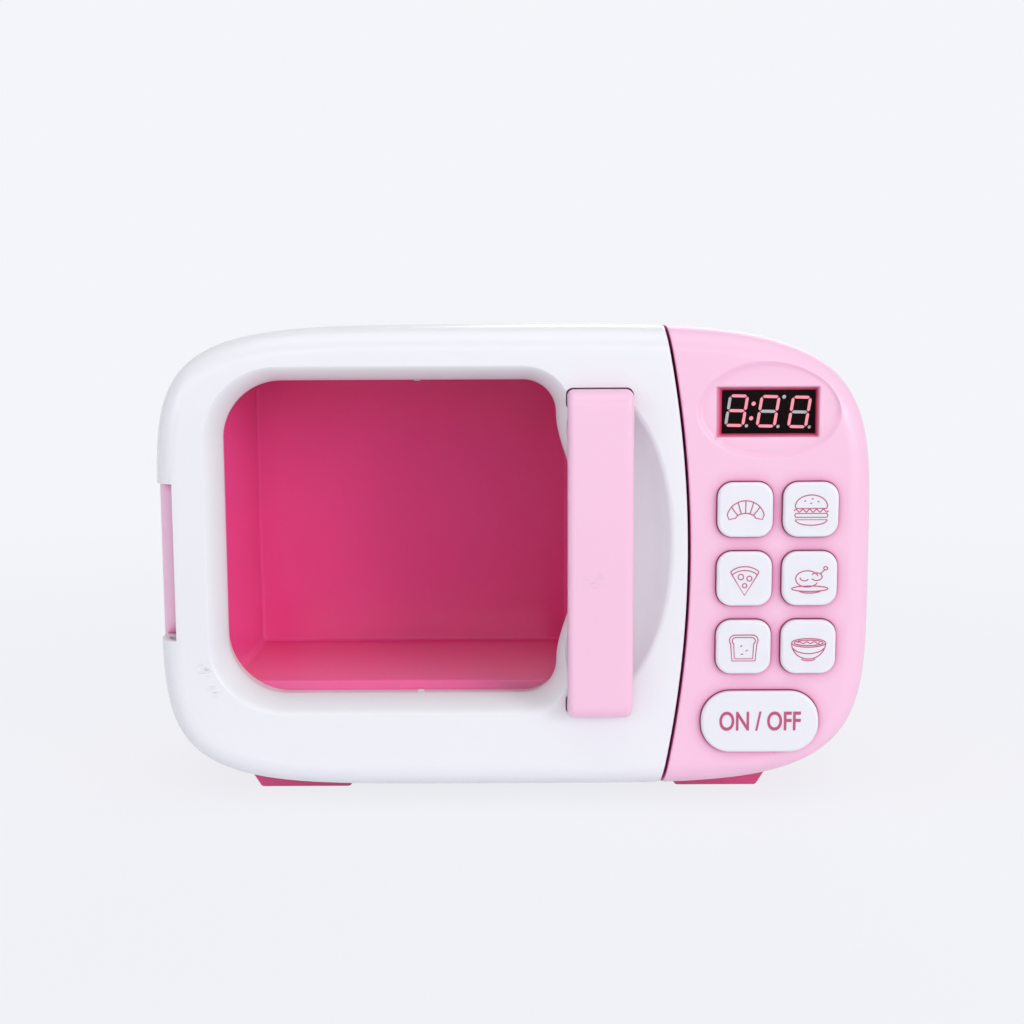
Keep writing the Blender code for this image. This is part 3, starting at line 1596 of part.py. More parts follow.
make_front_chassis()
make_rear_housing()
make_case_screws()
make_hinge()
make_door_front()
make_door_back()
make_window_pane()
make_handle()
make_door_screws()
make_control_panel()
make_buttons()
make_keypad_mat()
make_board()
make_speaker()
make_battery_bay()
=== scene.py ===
import math

import bmesh
import bpy
from mathutils import Matrix, Vector


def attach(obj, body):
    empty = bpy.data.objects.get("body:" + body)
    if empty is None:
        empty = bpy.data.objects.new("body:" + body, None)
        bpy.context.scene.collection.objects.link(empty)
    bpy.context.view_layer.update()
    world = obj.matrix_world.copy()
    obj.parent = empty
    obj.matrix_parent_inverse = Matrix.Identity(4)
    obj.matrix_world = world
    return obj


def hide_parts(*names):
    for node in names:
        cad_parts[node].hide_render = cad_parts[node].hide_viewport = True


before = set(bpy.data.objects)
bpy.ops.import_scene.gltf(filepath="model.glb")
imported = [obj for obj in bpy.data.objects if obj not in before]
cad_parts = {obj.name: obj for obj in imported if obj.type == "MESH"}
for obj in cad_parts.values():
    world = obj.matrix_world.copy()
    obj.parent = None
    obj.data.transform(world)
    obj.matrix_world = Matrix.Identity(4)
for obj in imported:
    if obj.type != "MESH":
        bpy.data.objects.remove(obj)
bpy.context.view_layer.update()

print("frame loaded with", len(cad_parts), "nodes")

metresPerMm = 0.001  # everything is modelled in millimetres and scaled when a piece is finished
lift = 0.015  # a rounded lip starts this far in front of its face, so that the cut meets the face cleanly
overrun = 3.0  # how far a cutter goes past what it cuts
beside, above, past = -120.0, 160.0, 60.0  # left of, over and behind the whole toy
weld = 0.0005  # points closer than this become one
rightAngle = math.pi / 2

# Places that several pieces share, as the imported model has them
front = {
    "face": -46.0, "back": -24.0, "round": 8.0, "wall": 2.2,
    "halfWidth": 113.65, "halfHeight": 74.4, "centreX": 0.65, "centreZ": 80.6,
}
case = {
    "front": -23.4, "plateBack": -20.4, "housing": -20.1, "back": 55.0, "round": 10.0, "wall": 2.2,
    "halfWidth": 111.2, "halfHeight": 74.9, "centreX": 0.65, "centreZ": 78.6, "left": -110.55,
}
powers = {"left": 5.3, "upperRight": 4.3, "lowerRight": 4.7}
split = {"centreX": -293.8, "centreZ": 81.5, "radius": 350.0, "gap": 0.8, "doorLip": 0.9, "panelLip": 0.7}
hinge = {
    "x": -109.3, "y": -28.0, "low": 53.1, "high": 104.3, "barrel": 5.0, "clear": 0.6, "visible": -107.0,
    "lugLow": 44.5, "lugHigh": 112.9, "lugRight": -101.5, "neckRight": -106.3, "heel": 3.9, "pinHole": 1.56,
    "baseRight": -99.0, "baseBack": -21.4, "inset": 4.0, "room": 0.3, "heelBack": -18.0,
    "notchLow": 2.2, "notchHigh": 0.8, "roundHigh": 0.3, "pinLow": 1.4,
    "postX": -103.3, "postInset": 11.0, "postRadius": 2.6, "postFront": -22.0, "postBack": -15.7,
}


def toLinear(hexColour):  # a hex sRGB colour as linear light
    channels = [int(hexColour[i:i + 2], 16) / 255 for i in (1, 3, 5)]
    return (*[c / 12.92 if c <= 0.04045 else ((c + 0.055) / 1.055) ** 2.4 for c in channels], 1.0)


def feed(tree, node, links):  # a source, a value or a hex colour for each of these inputs
    for key, value in links.items():
        if isinstance(value, bpy.types.Node):
            value = value.outputs[0]
        if isinstance(value, bpy.types.NodeSocket):
            tree.links.new(value, node.inputs[key])
        else:
            isColour = isinstance(value, str) and value.startswith("#")
            node.inputs[key].default_value = toLinear(value) if isColour else value


def addNode(tree, kind, links=None, **settings):  # a node whose kind is named without its prefix
    kinds = (prefix + kind for prefix in ("ShaderNode", "GeometryNode", ""))
    node = tree.nodes.new(next(name for name in kinds if hasattr(bpy.types, name)))
    for key, value in settings.items():
        setattr(node, key, value)
    feed(tree, node, links or {})
    return node


signs = {
    "+": "ADD", "-": "SUBTRACT", "*": "MULTIPLY", "/": "DIVIDE", "^": "POWER",
    ">": "GREATER_THAN", "<": "LESS_THAN", "min": "MINIMUM", "max": "MAXIMUM",
}


def mathChain(tree, known, rows):  # sums such as "c = a + b" or "d = SQRT c", of known names and numbers
    for row in rows.split("; "):
        result, words = row.split(" = ")
        words = words.split()
        operation, items = (signs[words[1]], words[::2]) if len(words) == 3 else (words[0], words[1:])
        links = {i: known[item] if item in known else float(item) for i, item in enumerate(items)}
        known[result] = addNode(tree, "Math", links, operation=operation).outputs[0]
    return known


# Materials

grain = {"tone": 60.0, "sheen": 14.0, "peel": 1.6}  # mm: slow colour drift, gloss drift, moulding texture


def newMaterial(name):
    material = bpy.data.materials.new(name)
    material.use_nodes = True
    tree = material.node_tree
    return material, tree, tree.nodes["Principled BSDF"], addNode(tree, "TexCoord").outputs["Object"]


def perMetre(sizeMm):  # a noise scale whose features are about this wide
    return 1 / (sizeMm * metresPerMm)


def mouldedAbs(
    name, colour, deep, roughness, peel=0.006, hollow=None, scatter=(0.0, 1.0, 1.0, 1.0), scuffs=()
):
    # Injection-moulded ABS: even body colour, gloss that drifts with the tool's polish, a faint orange peel
    material, tree, shader, place = newMaterial(name)
    tone = addNode(tree, "TexNoise", {"Vector": place, "Scale": perMetre(grain["tone"]), "Detail": 2.0})
    skin = addNode(tree, "Mix", {0: tone, 6: colour, 7: deep}, data_type="RGBA").outputs[2]
    if hollow:  # painted shade: where ambient occlusion finds a hollow, the colour turns toward this deeper one
        paintedShadeOcclusion = addNode(tree, "AmbientOcclusion", {"Distance": hollow[1] * metresPerMm}, samples=8)
        steep = addNode(
            tree, "MapRange", {"Value": paintedShadeOcclusion.outputs["AO"], "From Min": 0.45, "From Max": 0.97}
        )
        skin = addNode(tree, "Mix", {0: steep, 6: hollow[0], 7: skin}, data_type="RGBA").outputs[2]
    sheen = addNode(tree, "TexNoise", {"Vector": place, "Scale": perMetre(grain["sheen"]), "Detail": 3.0})
    gloss = addNode(
        tree, "MapRange", {"Value": sheen, "To Min": roughness - 0.03, "To Max": roughness + 0.04}
    )
    for spot, reach, strength in scuffs:  # places rubbed by use, in mm, each a small smear of fine marks
        away = addNode(
            tree, "VectorMath", {0: place, 1: [c * metresPerMm for c in spot]}, operation="DISTANCE"
        )
        near = addNode(
            tree, "MapRange",
            {"Value": away.outputs["Value"], "From Min": reach * metresPerMm, "From Max": 0.0},
            interpolation_type="SMOOTHSTEP",
        )
        stretch = addNode(tree, "Mapping", {"Vector": place, "Scale": (1.0, 1.0, 6.0)})
        marks = addNode(tree, "TexNoise", {"Vector": stretch, "Scale": perMetre(2.4), "Detail": 4.0})
        sharp = addNode(
            tree, "MapRange", {"Value": marks, "From Min": 0.52, "From Max": 0.62, "To Max": strength}
        )
        amount = addNode(tree, "Math", {0: near, 1: sharp}, operation="MULTIPLY")
        skin = addNode(tree, "Mix", {0: amount, 6: skin, 7: "#9a90a4"}, data_type="RGBA").outputs[2]
    peelNoise = addNode(
        tree, "TexNoise", {"Vector": place, "Scale": perMetre(grain["peel"]), "Detail": 2.0}
    )
    bump = addNode(tree, "Bump", {"Height": peelNoise, "Strength": 0.12, "Distance": peel * metresPerMm})
    feed(tree, shader, {
        "Base Color": skin, "Roughness": gloss, "Normal": bump, "IOR": 1.53, "Subsurface Weight": scatter[0],
        "Subsurface Radius": [reach * metresPerMm for reach in scatter[1:]], "Subsurface Scale": 1.0,
    })
    return material


whiteAbs = mouldedAbs(
    "whiteAbs", "#eff0f4", "#ecedf1", 0.22,
    scuffs=(((-98.0, -45.0, 46.0), 4.5, 0.5), ((-95.5, -46.0, 39.5), 3.5, 0.4)),
)  # polished white shell: a clean reflection with a soft edge
paleRoseAbs = mouldedAbs(
    "paleRoseAbs", "#f8c9e2", "#f5c5df", 0.32, hollow=("#d24a92", 4.5),
    scuffs=(((26.0, -55.0, 76.0), 5.0, 0.28),),
)  # pale pink shell; painted shade turns its hollows a deeper pink
shadedWellPinkAbs = mouldedAbs("shadedWellPinkAbs", "#f7b4d6", "#f4b0d2", 0.32)  # walls of the well: a deeper pink with painted shade, redder lower down
wellRim, wellFloor = (depth * metresPerMm for depth in (-44.9, -41.5))
tree = shadedWellPinkAbs.node_tree
shader = tree.nodes["Principled BSDF"]
down = addNode(tree, "SeparateXYZ", {0: addNode(tree, "TexCoord").outputs["Object"]})
# painted shade: the colour turns from the pale pink at the rim to a deep red at the bottom of the well
paintedWellShade = addNode(
    tree, "MapRange", {"Value": down.outputs["Y"], "From Min": wellRim, "From Max": wellFloor},
    interpolation_type="SMOOTHSTEP",
)
pale = shader.inputs["Base Color"].links[0].from_socket
body = addNode(tree, "Mix", {0: paintedWellShade, 6: pale, 7: "#d8245f"}, data_type="RGBA")
feed(tree, shader, {"Base Color": body.outputs[2]})
litCavityPinkAbs = mouldedAbs("litCavityPinkAbs", "#fe5aa6", "#fb539f", 0.14)  # strong pink cavity, highly polished, its pink set lighter as painted light
shadedCasePinkAbs = mouldedAbs("shadedCasePinkAbs", "#dc4c86", "#d64680", 0.22)  # the same pink, satin, on the outside, set darker as painted shade
capAbs = mouldedAbs(
    "capAbs", "#edeef3", "#e9eaf0", 0.32, hollow=("#b04a86", 1.3), scatter=(0.3, 1.0, 0.9, 0.95)
)  # white push caps, slightly satin, with painted shade that turns them pinker in the gap round them
padInk = mouldedAbs("padPrintInk", "#c4557f", "#bb4a76", 0.5, peel=0.002)  # pad-printed ink, thin and matt

# Cast clear sheet: it shows only as reflections
windowSheet, tree, shader, place = newMaterial("clearStyreneSheet")
ripple = addNode(tree, "TexNoise", {"Vector": place, "Scale": perMetre(35.0), "Detail": 1.0})
waves = addNode(tree, "Bump", {"Height": ripple, "Strength": 0.05, "Distance": 0.02 * metresPerMm})
feed(tree, shader, {
    "Normal": waves, "Base Color": "#fdfdff", "Roughness": 0.02, "IOR": 1.5, "Transmission Weight": 1.0,
})


def cloudy(name, colour, sizeMm, detail, smooth, rough):  # gloss that drifts between two roughnesses
    material, tree, shader, place = newMaterial(name)
    cloud = addNode(tree, "TexNoise", {"Vector": place, "Scale": perMetre(sizeMm), "Detail": detail})
    haze = addNode(tree, "MapRange", {"Value": cloud, "To Min": smooth, "To Max": rough})
    feed(tree, shader, {"Base Color": colour, "Roughness": haze})
    return material


zincSteel = cloudy("zincPlatedSteel", "#b9bec6", 1.2, 4.0, 0.24, 0.42)  # bright zinc on steel, faintly cloudy
zincSteel.node_tree.nodes["Principled BSDF"].inputs["Metallic"].default_value = 1.0
displayBlack = cloudy("blackDisplayResin", "#150d0c", 0.5, 3.0, 0.07, 0.13)  # cast black epoxy, smooth


def twoTone(name, colour, deep, roughness, sizeMm, bumpMm=0.0, detail=5.0, glow=0.0):  # two near tones
    material, tree, shader, place = newMaterial(name)
    noise = addNode(tree, "TexNoise", {"Vector": place, "Scale": perMetre(sizeMm), "Detail": detail})
    body = addNode(tree, "Mix", {0: noise, 6: colour, 7: deep}, data_type="RGBA")
    feed(tree, shader, {"Roughness": roughness, "Emission Color" if glow else "Base Color": body.outputs[2]})
    if glow:
        feed(tree, shader, {"Emission Strength": glow})
    if bumpMm:
        bump = addNode(tree, "Bump", {"Height": noise, "Strength": 0.4, "Distance": bumpMm * metresPerMm})
        feed(tree, shader, {"Normal": bump})
    return material


litSegment = twoTone("glowingRedDiffuser", "#ff8ba4", "#ffa9be", 0.4, 1.5, detail=1.0, glow=0.85)
feed(litSegment.node_tree, litSegment.node_tree.nodes["Principled BSDF"], {"Base Color": "#7a3a40"})
# that is diffusing resin lit from behind, and this the same resin when dark: milky grey
restSegment = twoTone("unlitDiffuser", "#a9adb4", "#c3c5bf", 0.45, 0.8, detail=2.0)
siliconeRubber = twoTone("greySiliconeRubber", "#bdbec4", "#b0b1b8", 0.62, 0.8, 0.02)  # pressed sheet, matt
boardLaminate = twoTone("greenSolderMask", "#2f6b3a", "#28602f", 0.35, 1.0, 0.01)  # lacquered laminate
cellJacket = twoTone("greyCellJacket", "#8a8d94", "#7d8088", 0.32, 6.0, 0.002)  # shrunk film over a steel can
speakerBlack = twoTone("blackSpeakerCone", "#202022", "#18181a", 0.6, 0.6, 0.03)  # pressed paper
print("materials ready:", len(bpy.data.materials))


# Mesh tools


def newObject(name, mesh):
    made = bpy.data.objects.new(name, mesh)
    bpy.context.scene.collection.objects.link(made)
    return made


def toMesh(name, shape):
    mesh = bpy.data.meshes.new(name)
    shape.to_mesh(mesh)
    shape.free()
    return mesh


def fromBmesh(name, shape):
    bmesh.ops.recalc_face_normals(shape, faces=shape.faces)
    return newObject(name, toMesh(name, shape))


def evaluated(piece):
    bpy.context.view_layer.update()
    return bpy.data.meshes.new_from_object(piece.evaluated_get(bpy.context.evaluated_depsgraph_get()))


def bake(piece):  # the evaluated shape as a plain mesh, with no modifier left
    mesh = evaluated(piece)
    piece.modifiers.clear()
    old, piece.data = piece.data, mesh
    bpy.data.meshes.remove(old)
    mesh.name = piece.name
    return piece


def loft(name, rings):  # a closed solid through rings of matching points
    shape = bmesh.new()
    rows = [[shape.verts.new(point) for point in ring] for ring in rings]
    for low, high in zip(rows, rows[1:]):
        for i, vertex in enumerate(low):
            shape.faces.new((low[i - 1], vertex, high[i], high[i - 1]))
    shape.faces.new(rows[0])
    shape.faces.new(reversed(rows[-1]))
    return fromBmesh(name, shape)


def box(name, x, y, z, bevel=0.0):
    shape = bmesh.new()
    middle = Vector((sum(x) / 2, sum(y) / 2, sum(z) / 2))
    size = (x[1] - x[0], y[1] - y[0], z[1] - z[0], 1)
    bmesh.ops.create_cube(shape, size=1, matrix=Matrix.Translation(middle) @ Matrix.Diagonal(size))
    if bevel:
        bmesh.ops.bevel(shape, geom=shape.edges[:], offset=bevel, segments=3, profile=0.5, affect="EDGES")
    return fromBmesh(name, shape)


def rodBetween(name, start, end, radius, sides=48):
    shape = bmesh.new()
    run = Vector(end) - Vector(start)
    middle = Matrix.Translation((Vector(start) + Vector(end)) / 2)
    place = middle @ run.to_track_quat("Z", "Y").to_matrix().to_4x4()
    bmesh.ops.create_cone(
        shape, cap_ends=True, segments=sides, radius1=radius, radius2=radius, depth=run.length, matrix=place
    )
    return fromBmesh(name, shape)


def peg(name, x, z, start, end, radius, sides=40):
    return rodBetween(name, (x, start, z), (x, end, z), radius, sides)


def roundedEdges(piece, width, segments, angle=None):
    rounding = piece.modifiers.new("edges", "BEVEL")
    rounding.width = width
    rounding.segments = segments
    if angle:
        rounding.limit_method = "ANGLE"
        rounding.angle_limit = math.radians(angle)
    return bake(piece)


def arc(centreX, centreZ, radius, start, end, steps):
    turns = (math.radians(start + (end - start) * i / steps) for i in range(steps + 1))
    return [(centreX + radius * math.cos(t), centreZ + radius * math.sin(t)) for t in turns]


def circle(x, z, radius):
    return lambda grow: arc(x, z, radius + grow, 0, 360 - 10, 35)


def rounded(lowX, highX, lowZ, highZ, radius, steps=8):
    left, right, bottom, top = lowX + radius, highX - radius, lowZ + radius, highZ - radius
    return (
        arc(right, bottom, radius, -90, 0, steps) + arc(right, top, radius, 0, 90, steps)
        + arc(left, top, radius, 90, 180, steps) + arc(left, bottom, radius, 180, 270, steps)
    )


def ring(outline, y):
    return [(x, y, z) for x, z in outline]


def quarter(steps):  # sine and cosine pairs over a quarter turn
    return [(math.sin(rightAngle * i / steps), math.cos(rightAngle * i / steps)) for i in range(steps + 1)]


def plate(name, outline, start, end, startRound=0.0, endRound=0.0, steps=5):  # outline(grow) gives the points
    rings = []
    if startRound:
        for s, c in quarter(steps):
            rings.append(ring(outline(-startRound * (1 - s)), start + startRound * (1 - c)))
    else:
        rings.append(ring(outline(0.0), start))
    if endRound:
        for s, c in quarter(steps):
            rings.append(ring(outline(-endRound * (1 - c)), end - endRound * (1 - s)))
    else:
        rings.append(ring(outline(0.0), end))
    return loft(name, rings)


def lippedHole(name, outline, face, end, lip, direction=1, steps=6):  # a cutter with a rounded mouth
    rings = [ring(outline(lip), face - direction * overrun)]
    for s, c in quarter(steps):
        y = face - direction * lift + direction * (lip + lift) * (1 - c)
        rings.append(ring(outline(lip * (1 - s)), y))
    rings.append(ring(outline(0.0), end))
    return loft(name, rings)


def joined(name, *pieces):  # several separate solids as one tool
    shape = bmesh.new()
    for piece in pieces:
        shape.from_mesh(piece.data)
        bpy.data.objects.remove(piece)
    return newObject(name, toMesh(name, shape))


def combine(piece, *steps):  # Boolean steps in order; a tool without an operation is cut away
    tools = []
    for step in steps:
        operation, tool = step if isinstance(step, tuple) else ("DIFFERENCE", step)
        modifier = piece.modifiers.new(tool.name, "BOOLEAN")
        modifier.operation = operation
        modifier.solver = "EXACT"
        modifier.object = tool
        tools.append(tool)
    bake(piece)
    for tool in tools:
        bpy.data.objects.remove(tool)
    return piece


def finishPiece(piece, name, material, body, nodes=(), sharp=32.0, weighted=True):
    piece.name = name
    shape = bmesh.new()
    shape.from_mesh(piece.data)
    bmesh.ops.remove_doubles(shape, verts=shape.verts, dist=weld)
    bmesh.ops.dissolve_degenerate(shape, edges=shape.edges, dist=weld)
    shape.to_mesh(piece.data)
    shape.free()
    piece.data.transform(Matrix.Scale(metresPerMm, 4))
    if material is not None:
        piece.data.materials.clear()
        piece.data.materials.append(material)
        for face in piece.data.polygons:
            face.material_index = 0
    piece.data.shade_smooth()
    piece.data.set_sharp_from_angle(angle=math.radians(sharp))
    if weighted:
        normals = piece.modifiers.new("normals", "WEIGHTED_NORMAL")
        normals.mode = "FACE_AREA"
        normals.weight = 50
        normals.keep_sharp = True
        bake(piece)
    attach(piece, body)
    if nodes:
        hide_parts(*nodes)
    print("finished", name, "with", len(piece.data.polygons), "faces")
    return piece


# Geometry Nodes tools


def newTree(name, inputs):  # a tree, with its inputs in camelCase and each point's x, y and z for its sums
    tree = bpy.data.node_groups.new(name, "GeometryNodeTree")
    tree.is_modifier = True
    tree.interface.new_socket("Geometry", in_out="INPUT", socket_type="NodeSocketGeometry")
    for label, value in {"Finish": None, **inputs}.items():
        kind = "Material" if value is None else "Int" if isinstance(value, int) else "Float"
        socket = tree.interface.new_socket(label, in_out="INPUT", socket_type="NodeSocket" + kind)
        if value is not None:
            socket.default_value = value
    tree.interface.new_socket("Geometry", in_out="OUTPUT", socket_type="NodeSocketGeometry")
    source = addNode(tree, "NodeGroupInput")
    known = {
        (label[0].lower() + label[1:]).replace(" ", ""): source.outputs[label]
        for label in ("Geometry", "Finish", *inputs)
    }
    spot = addNode(tree, "SeparateXYZ", {0: addNode(tree, "InputPosition")})
    known.update(zip("xyz", spot.outputs))
    return tree, known


def endTree(tree, known, geometry, *others):  # each tree ends in real geometry with its finish, or finishes
    last = addNode(tree, "RealizeInstances", {"Geometry": geometry})
    last = addNode(tree, "SetMaterial", {"Geometry": last, "Material": known["finish"]})
    for chosen, finish in others:
        last = addNode(tree, "SetMaterial", {"Geometry": last, "Selection": chosen, "Material": finish})
    addNode(tree, "NodeGroupOutput", {"Geometry": last})


def runTree(tree, name, values, mesh=None):
    piece = newObject(name, mesh or bpy.data.meshes.new(name))
    modifier = piece.modifiers.new(name, "NODES")
    modifier.node_group = tree
    sockets = {
        item.name: item.identifier
        for item in tree.interface.items_tree if item.item_type == "SOCKET" and item.in_out == "INPUT"
    }
    for label, value in values.items():
        modifier[sockets[label]] = value
    return bake(piece)


# The swollen form shared by the door, the panel and the case: |x/a|^p + |z/b|^p = 1 seen from the front, with
# its own power in each right-hand quarter, and round edges at the front and the back
formTree, known = newTree("swollenForm", {
    "Half Width": front["halfWidth"], "Half Height": front["halfHeight"],
    "Centre X": front["centreX"], "Centre Z": front["centreZ"],
    "Left Power": powers["left"], "Upper Right Power": powers["upperRight"],
    "Lower Right Power": powers["lowerRight"], "Front": front["face"], "Back": front["back"],
    "Front Round": front["round"], "Back Round": 0.0, "Inset": 0.0,
    "Outline Points": 200, "Round Steps": 8,
})
known["rightAngle"] = rightAngle
mathChain(formTree, known, "pairs = roundSteps * 2.0; segments = pairs + 1.0")
drum = addNode(
    formTree, "MeshCylinder",
    {"Vertices": known["outlinePoints"], "Side Segments": known["segments"], "Radius": 1.0, "Depth": 1.0},
    fill_type="NGON",
)
known["z"], known["level"] = known["y"], known["z"]  # the drum lies down: its height becomes depth
mathChain(formTree, known, (
    "raised = level + 0.5; ring = raised * segments; "
    "frontShare = ring / roundSteps; frontPart = frontShare min 1.0; frontTurn = frontPart * rightAngle; "
    "frontSine = SINE frontTurn; frontCosine = COSINE frontTurn; frontIn = 1.0 - frontSine; "
    "frontInset = frontIn * frontRound; frontDown = 1.0 - frontCosine; frontRise = frontDown * frontRound; "
    "frontY = front + frontRise; "
    "past = ring - roundSteps; pastOne = past - 1.0; backShare = pastOne / roundSteps; "
    "backPart = backShare max 0.0; backTurn = backPart * rightAngle; backSine = SINE backTurn; "
    "backCosine = COSINE backTurn; backIn = 1.0 - backCosine; backInset = backIn * backRound; "
    "backUp = 1.0 - backSine; backDrop = backUp * backRound; backY = back - backDrop; "
    "middle = roundSteps + 0.5; isBack = ring > middle; run = backY - frontY; runPart = run * isBack; "
    "depth = frontY + runPart; bothInsets = frontInset + backInset; pulled = bothInsets + inset; "
    "wide = ABSOLUTE x; tall = ABSOLUTE z; wideSpread = wide ^ 1.4; tallSpread = tall ^ 1.4; "
    "wideSquare = wideSpread * wideSpread; tallSquare = tallSpread * tallSpread; "
    "squares = wideSquare + tallSquare; span = SQRT squares; across = wideSpread / span; "
    "up = tallSpread / span; "
    "isRight = x > 0.0; isUpper = z > 0.0; upperStep = upperRightPower - lowerRightPower; "
    "upperPart = upperStep * isUpper; rightPower = lowerRightPower + upperPart; "
    "rightStep = rightPower - leftPower; rightPart = rightStep * isRight; power = leftPower + rightPart; "
    "root = 2.0 / power; acrossShare = across ^ root; upShare = up ^ root; rim = power - 1.0; "
    "acrossSlope = acrossShare ^ rim; upSlope = upShare ^ rim; slopeX = acrossSlope / halfWidth; "
    "slopeZ = upSlope / halfHeight; slopeXX = slopeX * slopeX; slopeZZ = slopeZ * slopeZ; "
    "slopeSum = slopeXX + slopeZZ; slope = SQRT slopeSum; unitX = slopeX / slope; unitZ = slopeZ / slope; "
    "outX = acrossShare * halfWidth; inX = unitX * pulled; netX = outX - inX; signX = SIGN x; "
    "sideX = netX * signX; placeX = sideX + centreX; "
    "outZ = upShare * halfHeight; inZ = unitZ * pulled; netZ = outZ - inZ; signZ = SIGN z; "
    "sideZ = netZ * signZ; placeZ = sideZ + centreZ"
))
target = addNode(formTree, "CombineXYZ", {0: known["placeX"], 1: known["depth"], 2: known["placeZ"]})
shaped = addNode(formTree, "SetPosition", {"Geometry": drum, "Position": target})
merged = addNode(formTree, "MergeByDistance", {"Geometry": shaped, "Distance": weld})
endTree(formTree, known, addNode(formTree, "FlipFaces", {"Mesh": merged}))


def swollen(name, of, start, end, inset=0.0, frontRound=0.0, backRound=0.0, steps=8):
    return runTree(formTree, name, {
        "Finish": whiteAbs, "Half Width": of["halfWidth"], "Half Height": of["halfHeight"],
        "Centre X": of["centreX"], "Centre Z": of["centreZ"], "Front": start, "Back": end,
        "Front Round": frontRound, "Back Round": backRound, "Inset": inset, "Round Steps": steps,
    })


def shellRoom(name):  # the room inside a shell of the front form
    return swollen(name, front, front["face"] + wall, front["back"] + overrun, wall, front["round"] - wall)


def faceDepth(x, z):  # where the front form's surface lies at this place, for lips that follow its round edge
    across = abs(x - front["centreX"]) / front["halfWidth"]
    power = powers["upperRight"] if z > front["centreZ"] else powers["lowerRight"]
    edge = front["halfHeight"] * max(1 - across ** power, 0.0) ** (1 / power)
    reach = min(max(front["round"] - (edge - abs(z - front["centreZ"])), 0.0), front["round"])
    return front["face"] + front["round"] - math.sqrt(front["round"] ** 2 - reach ** 2)


def splitSide(name, side, grow, lip=0.0, steps=6):  # what lies on one side of the arc; -1 is the door's
    heights = [-20 + 200 * i / 160 for i in range(161)]
    far = 150.0 * side

    def edge(out, depth):
        radius = split["radius"] + side * (split["gap"] / 2 + grow + out)
        points = []
        for z in heights:
            x = split["centreX"] + math.sqrt(radius ** 2 - (z - split["centreZ"]) ** 2)
            points.append((x, depth(x, z), z))
        return points + [(far, points[-1][1], heights[-1]), (far, points[0][1], heights[0])]

    rings = [edge(lip, lambda x, z: -60.0)]
    if lip:
        for s, c in quarter(steps):
            sink = (lip + lift) * (1 - c)
            rings.append(edge(lip * (1 - s), lambda x, z: faceDepth(x, z) - lift + sink))
    rings.append(edge(0.0, lambda x, z: 10.0))
    return loft(name, rings)


# Door front: the white shell with its flared window and the dish for the fingers

window = {
    "left": -92.2, "right": 14.3, "low": 35.8, "high": 137.7, "leftRadius": 19.0, "rightRadius": 10.5,
    "swell": 6.3, "swellShare": 0.3, "depth": 11.0, "flare": 5.0, "fullness": 1.4,
    "paneFront": -34.7, "paneBack": -33.5, "lap": 3.0,
}
dish = {"x": 27.8, "z": 85.6, "width": 23.6, "height": 50.0, "depth": 11.8, "lead": 3.0, "lip": 1.7}
handle = {
    "left": 17.45, "right": 37.95, "low": 31.2, "high": 135.2, "front": -55.0, "bar": 5.5, "leg": 6.4,
    "outer": 5.0, "inner": 3.0, "edge": 2.2, "gap": 0.3, "seat": -44.2,
}


def windowOutline(grow=0.0):
    left, right = window["left"] - grow, window["right"] + grow
    low, high = window["low"] - grow, window["high"] + grow
    leftRadius, rightRadius = window["leftRadius"] + grow, window["rightRadius"] + grow
    middle, chord = (low + high) / 2, (high - low) / 2 - rightRadius
    rise = []
    for step in range(29):
        share = step / 28
        bulge = window["swell"] * share ** 2 * (3 - 2 * share)
        rise.append((right + bulge, chord * (1 - (1 - window["swellShare"]) * share)))
    return (
        arc(right - rightRadius, low + rightRadius, rightRadius, -90, 0, 12)[:-1]
        + [(x, middle - height) for x, height in rise]
        + [(x, middle + height) for x, height in reversed(rise)]
        + arc(right - rightRadius, high - rightRadius, rightRadius, 0, 90, 12)[1:]
        + arc(left + leftRadius, high - leftRadius, leftRadius, 90, 180, 20)
        + arc(left + leftRadius, low + leftRadius, leftRadius, 180, 270, 20)
    )


def windowFunnel(name, grow=0.0):
    inside = front["face"] + front["wall"] / 2
    rings = []
    for s, c in quarter(14):  # between a quarter ellipse and a chamfer
        s, c = (max(part, 0.0) ** (2 / window["fullness"]) for part in (s, c))
        y = front["face"] - lift + (window["depth"] + lift) * (1 - c)
        if not grow or y > inside:
            rings.append(ring(windowOutline(window["flare"] * (1 - s) + grow), y))
    if grow:
        rings.insert(0, ring(windowOutline(window["flare"] + grow), inside))
    else:
        rings.insert(0, ring(windowOutline(window["flare"]), front["face"] - overrun))
        rings.append(ring(windowOutline(), front["face"] + window["depth"] + overrun))
    return loft(name, rings)


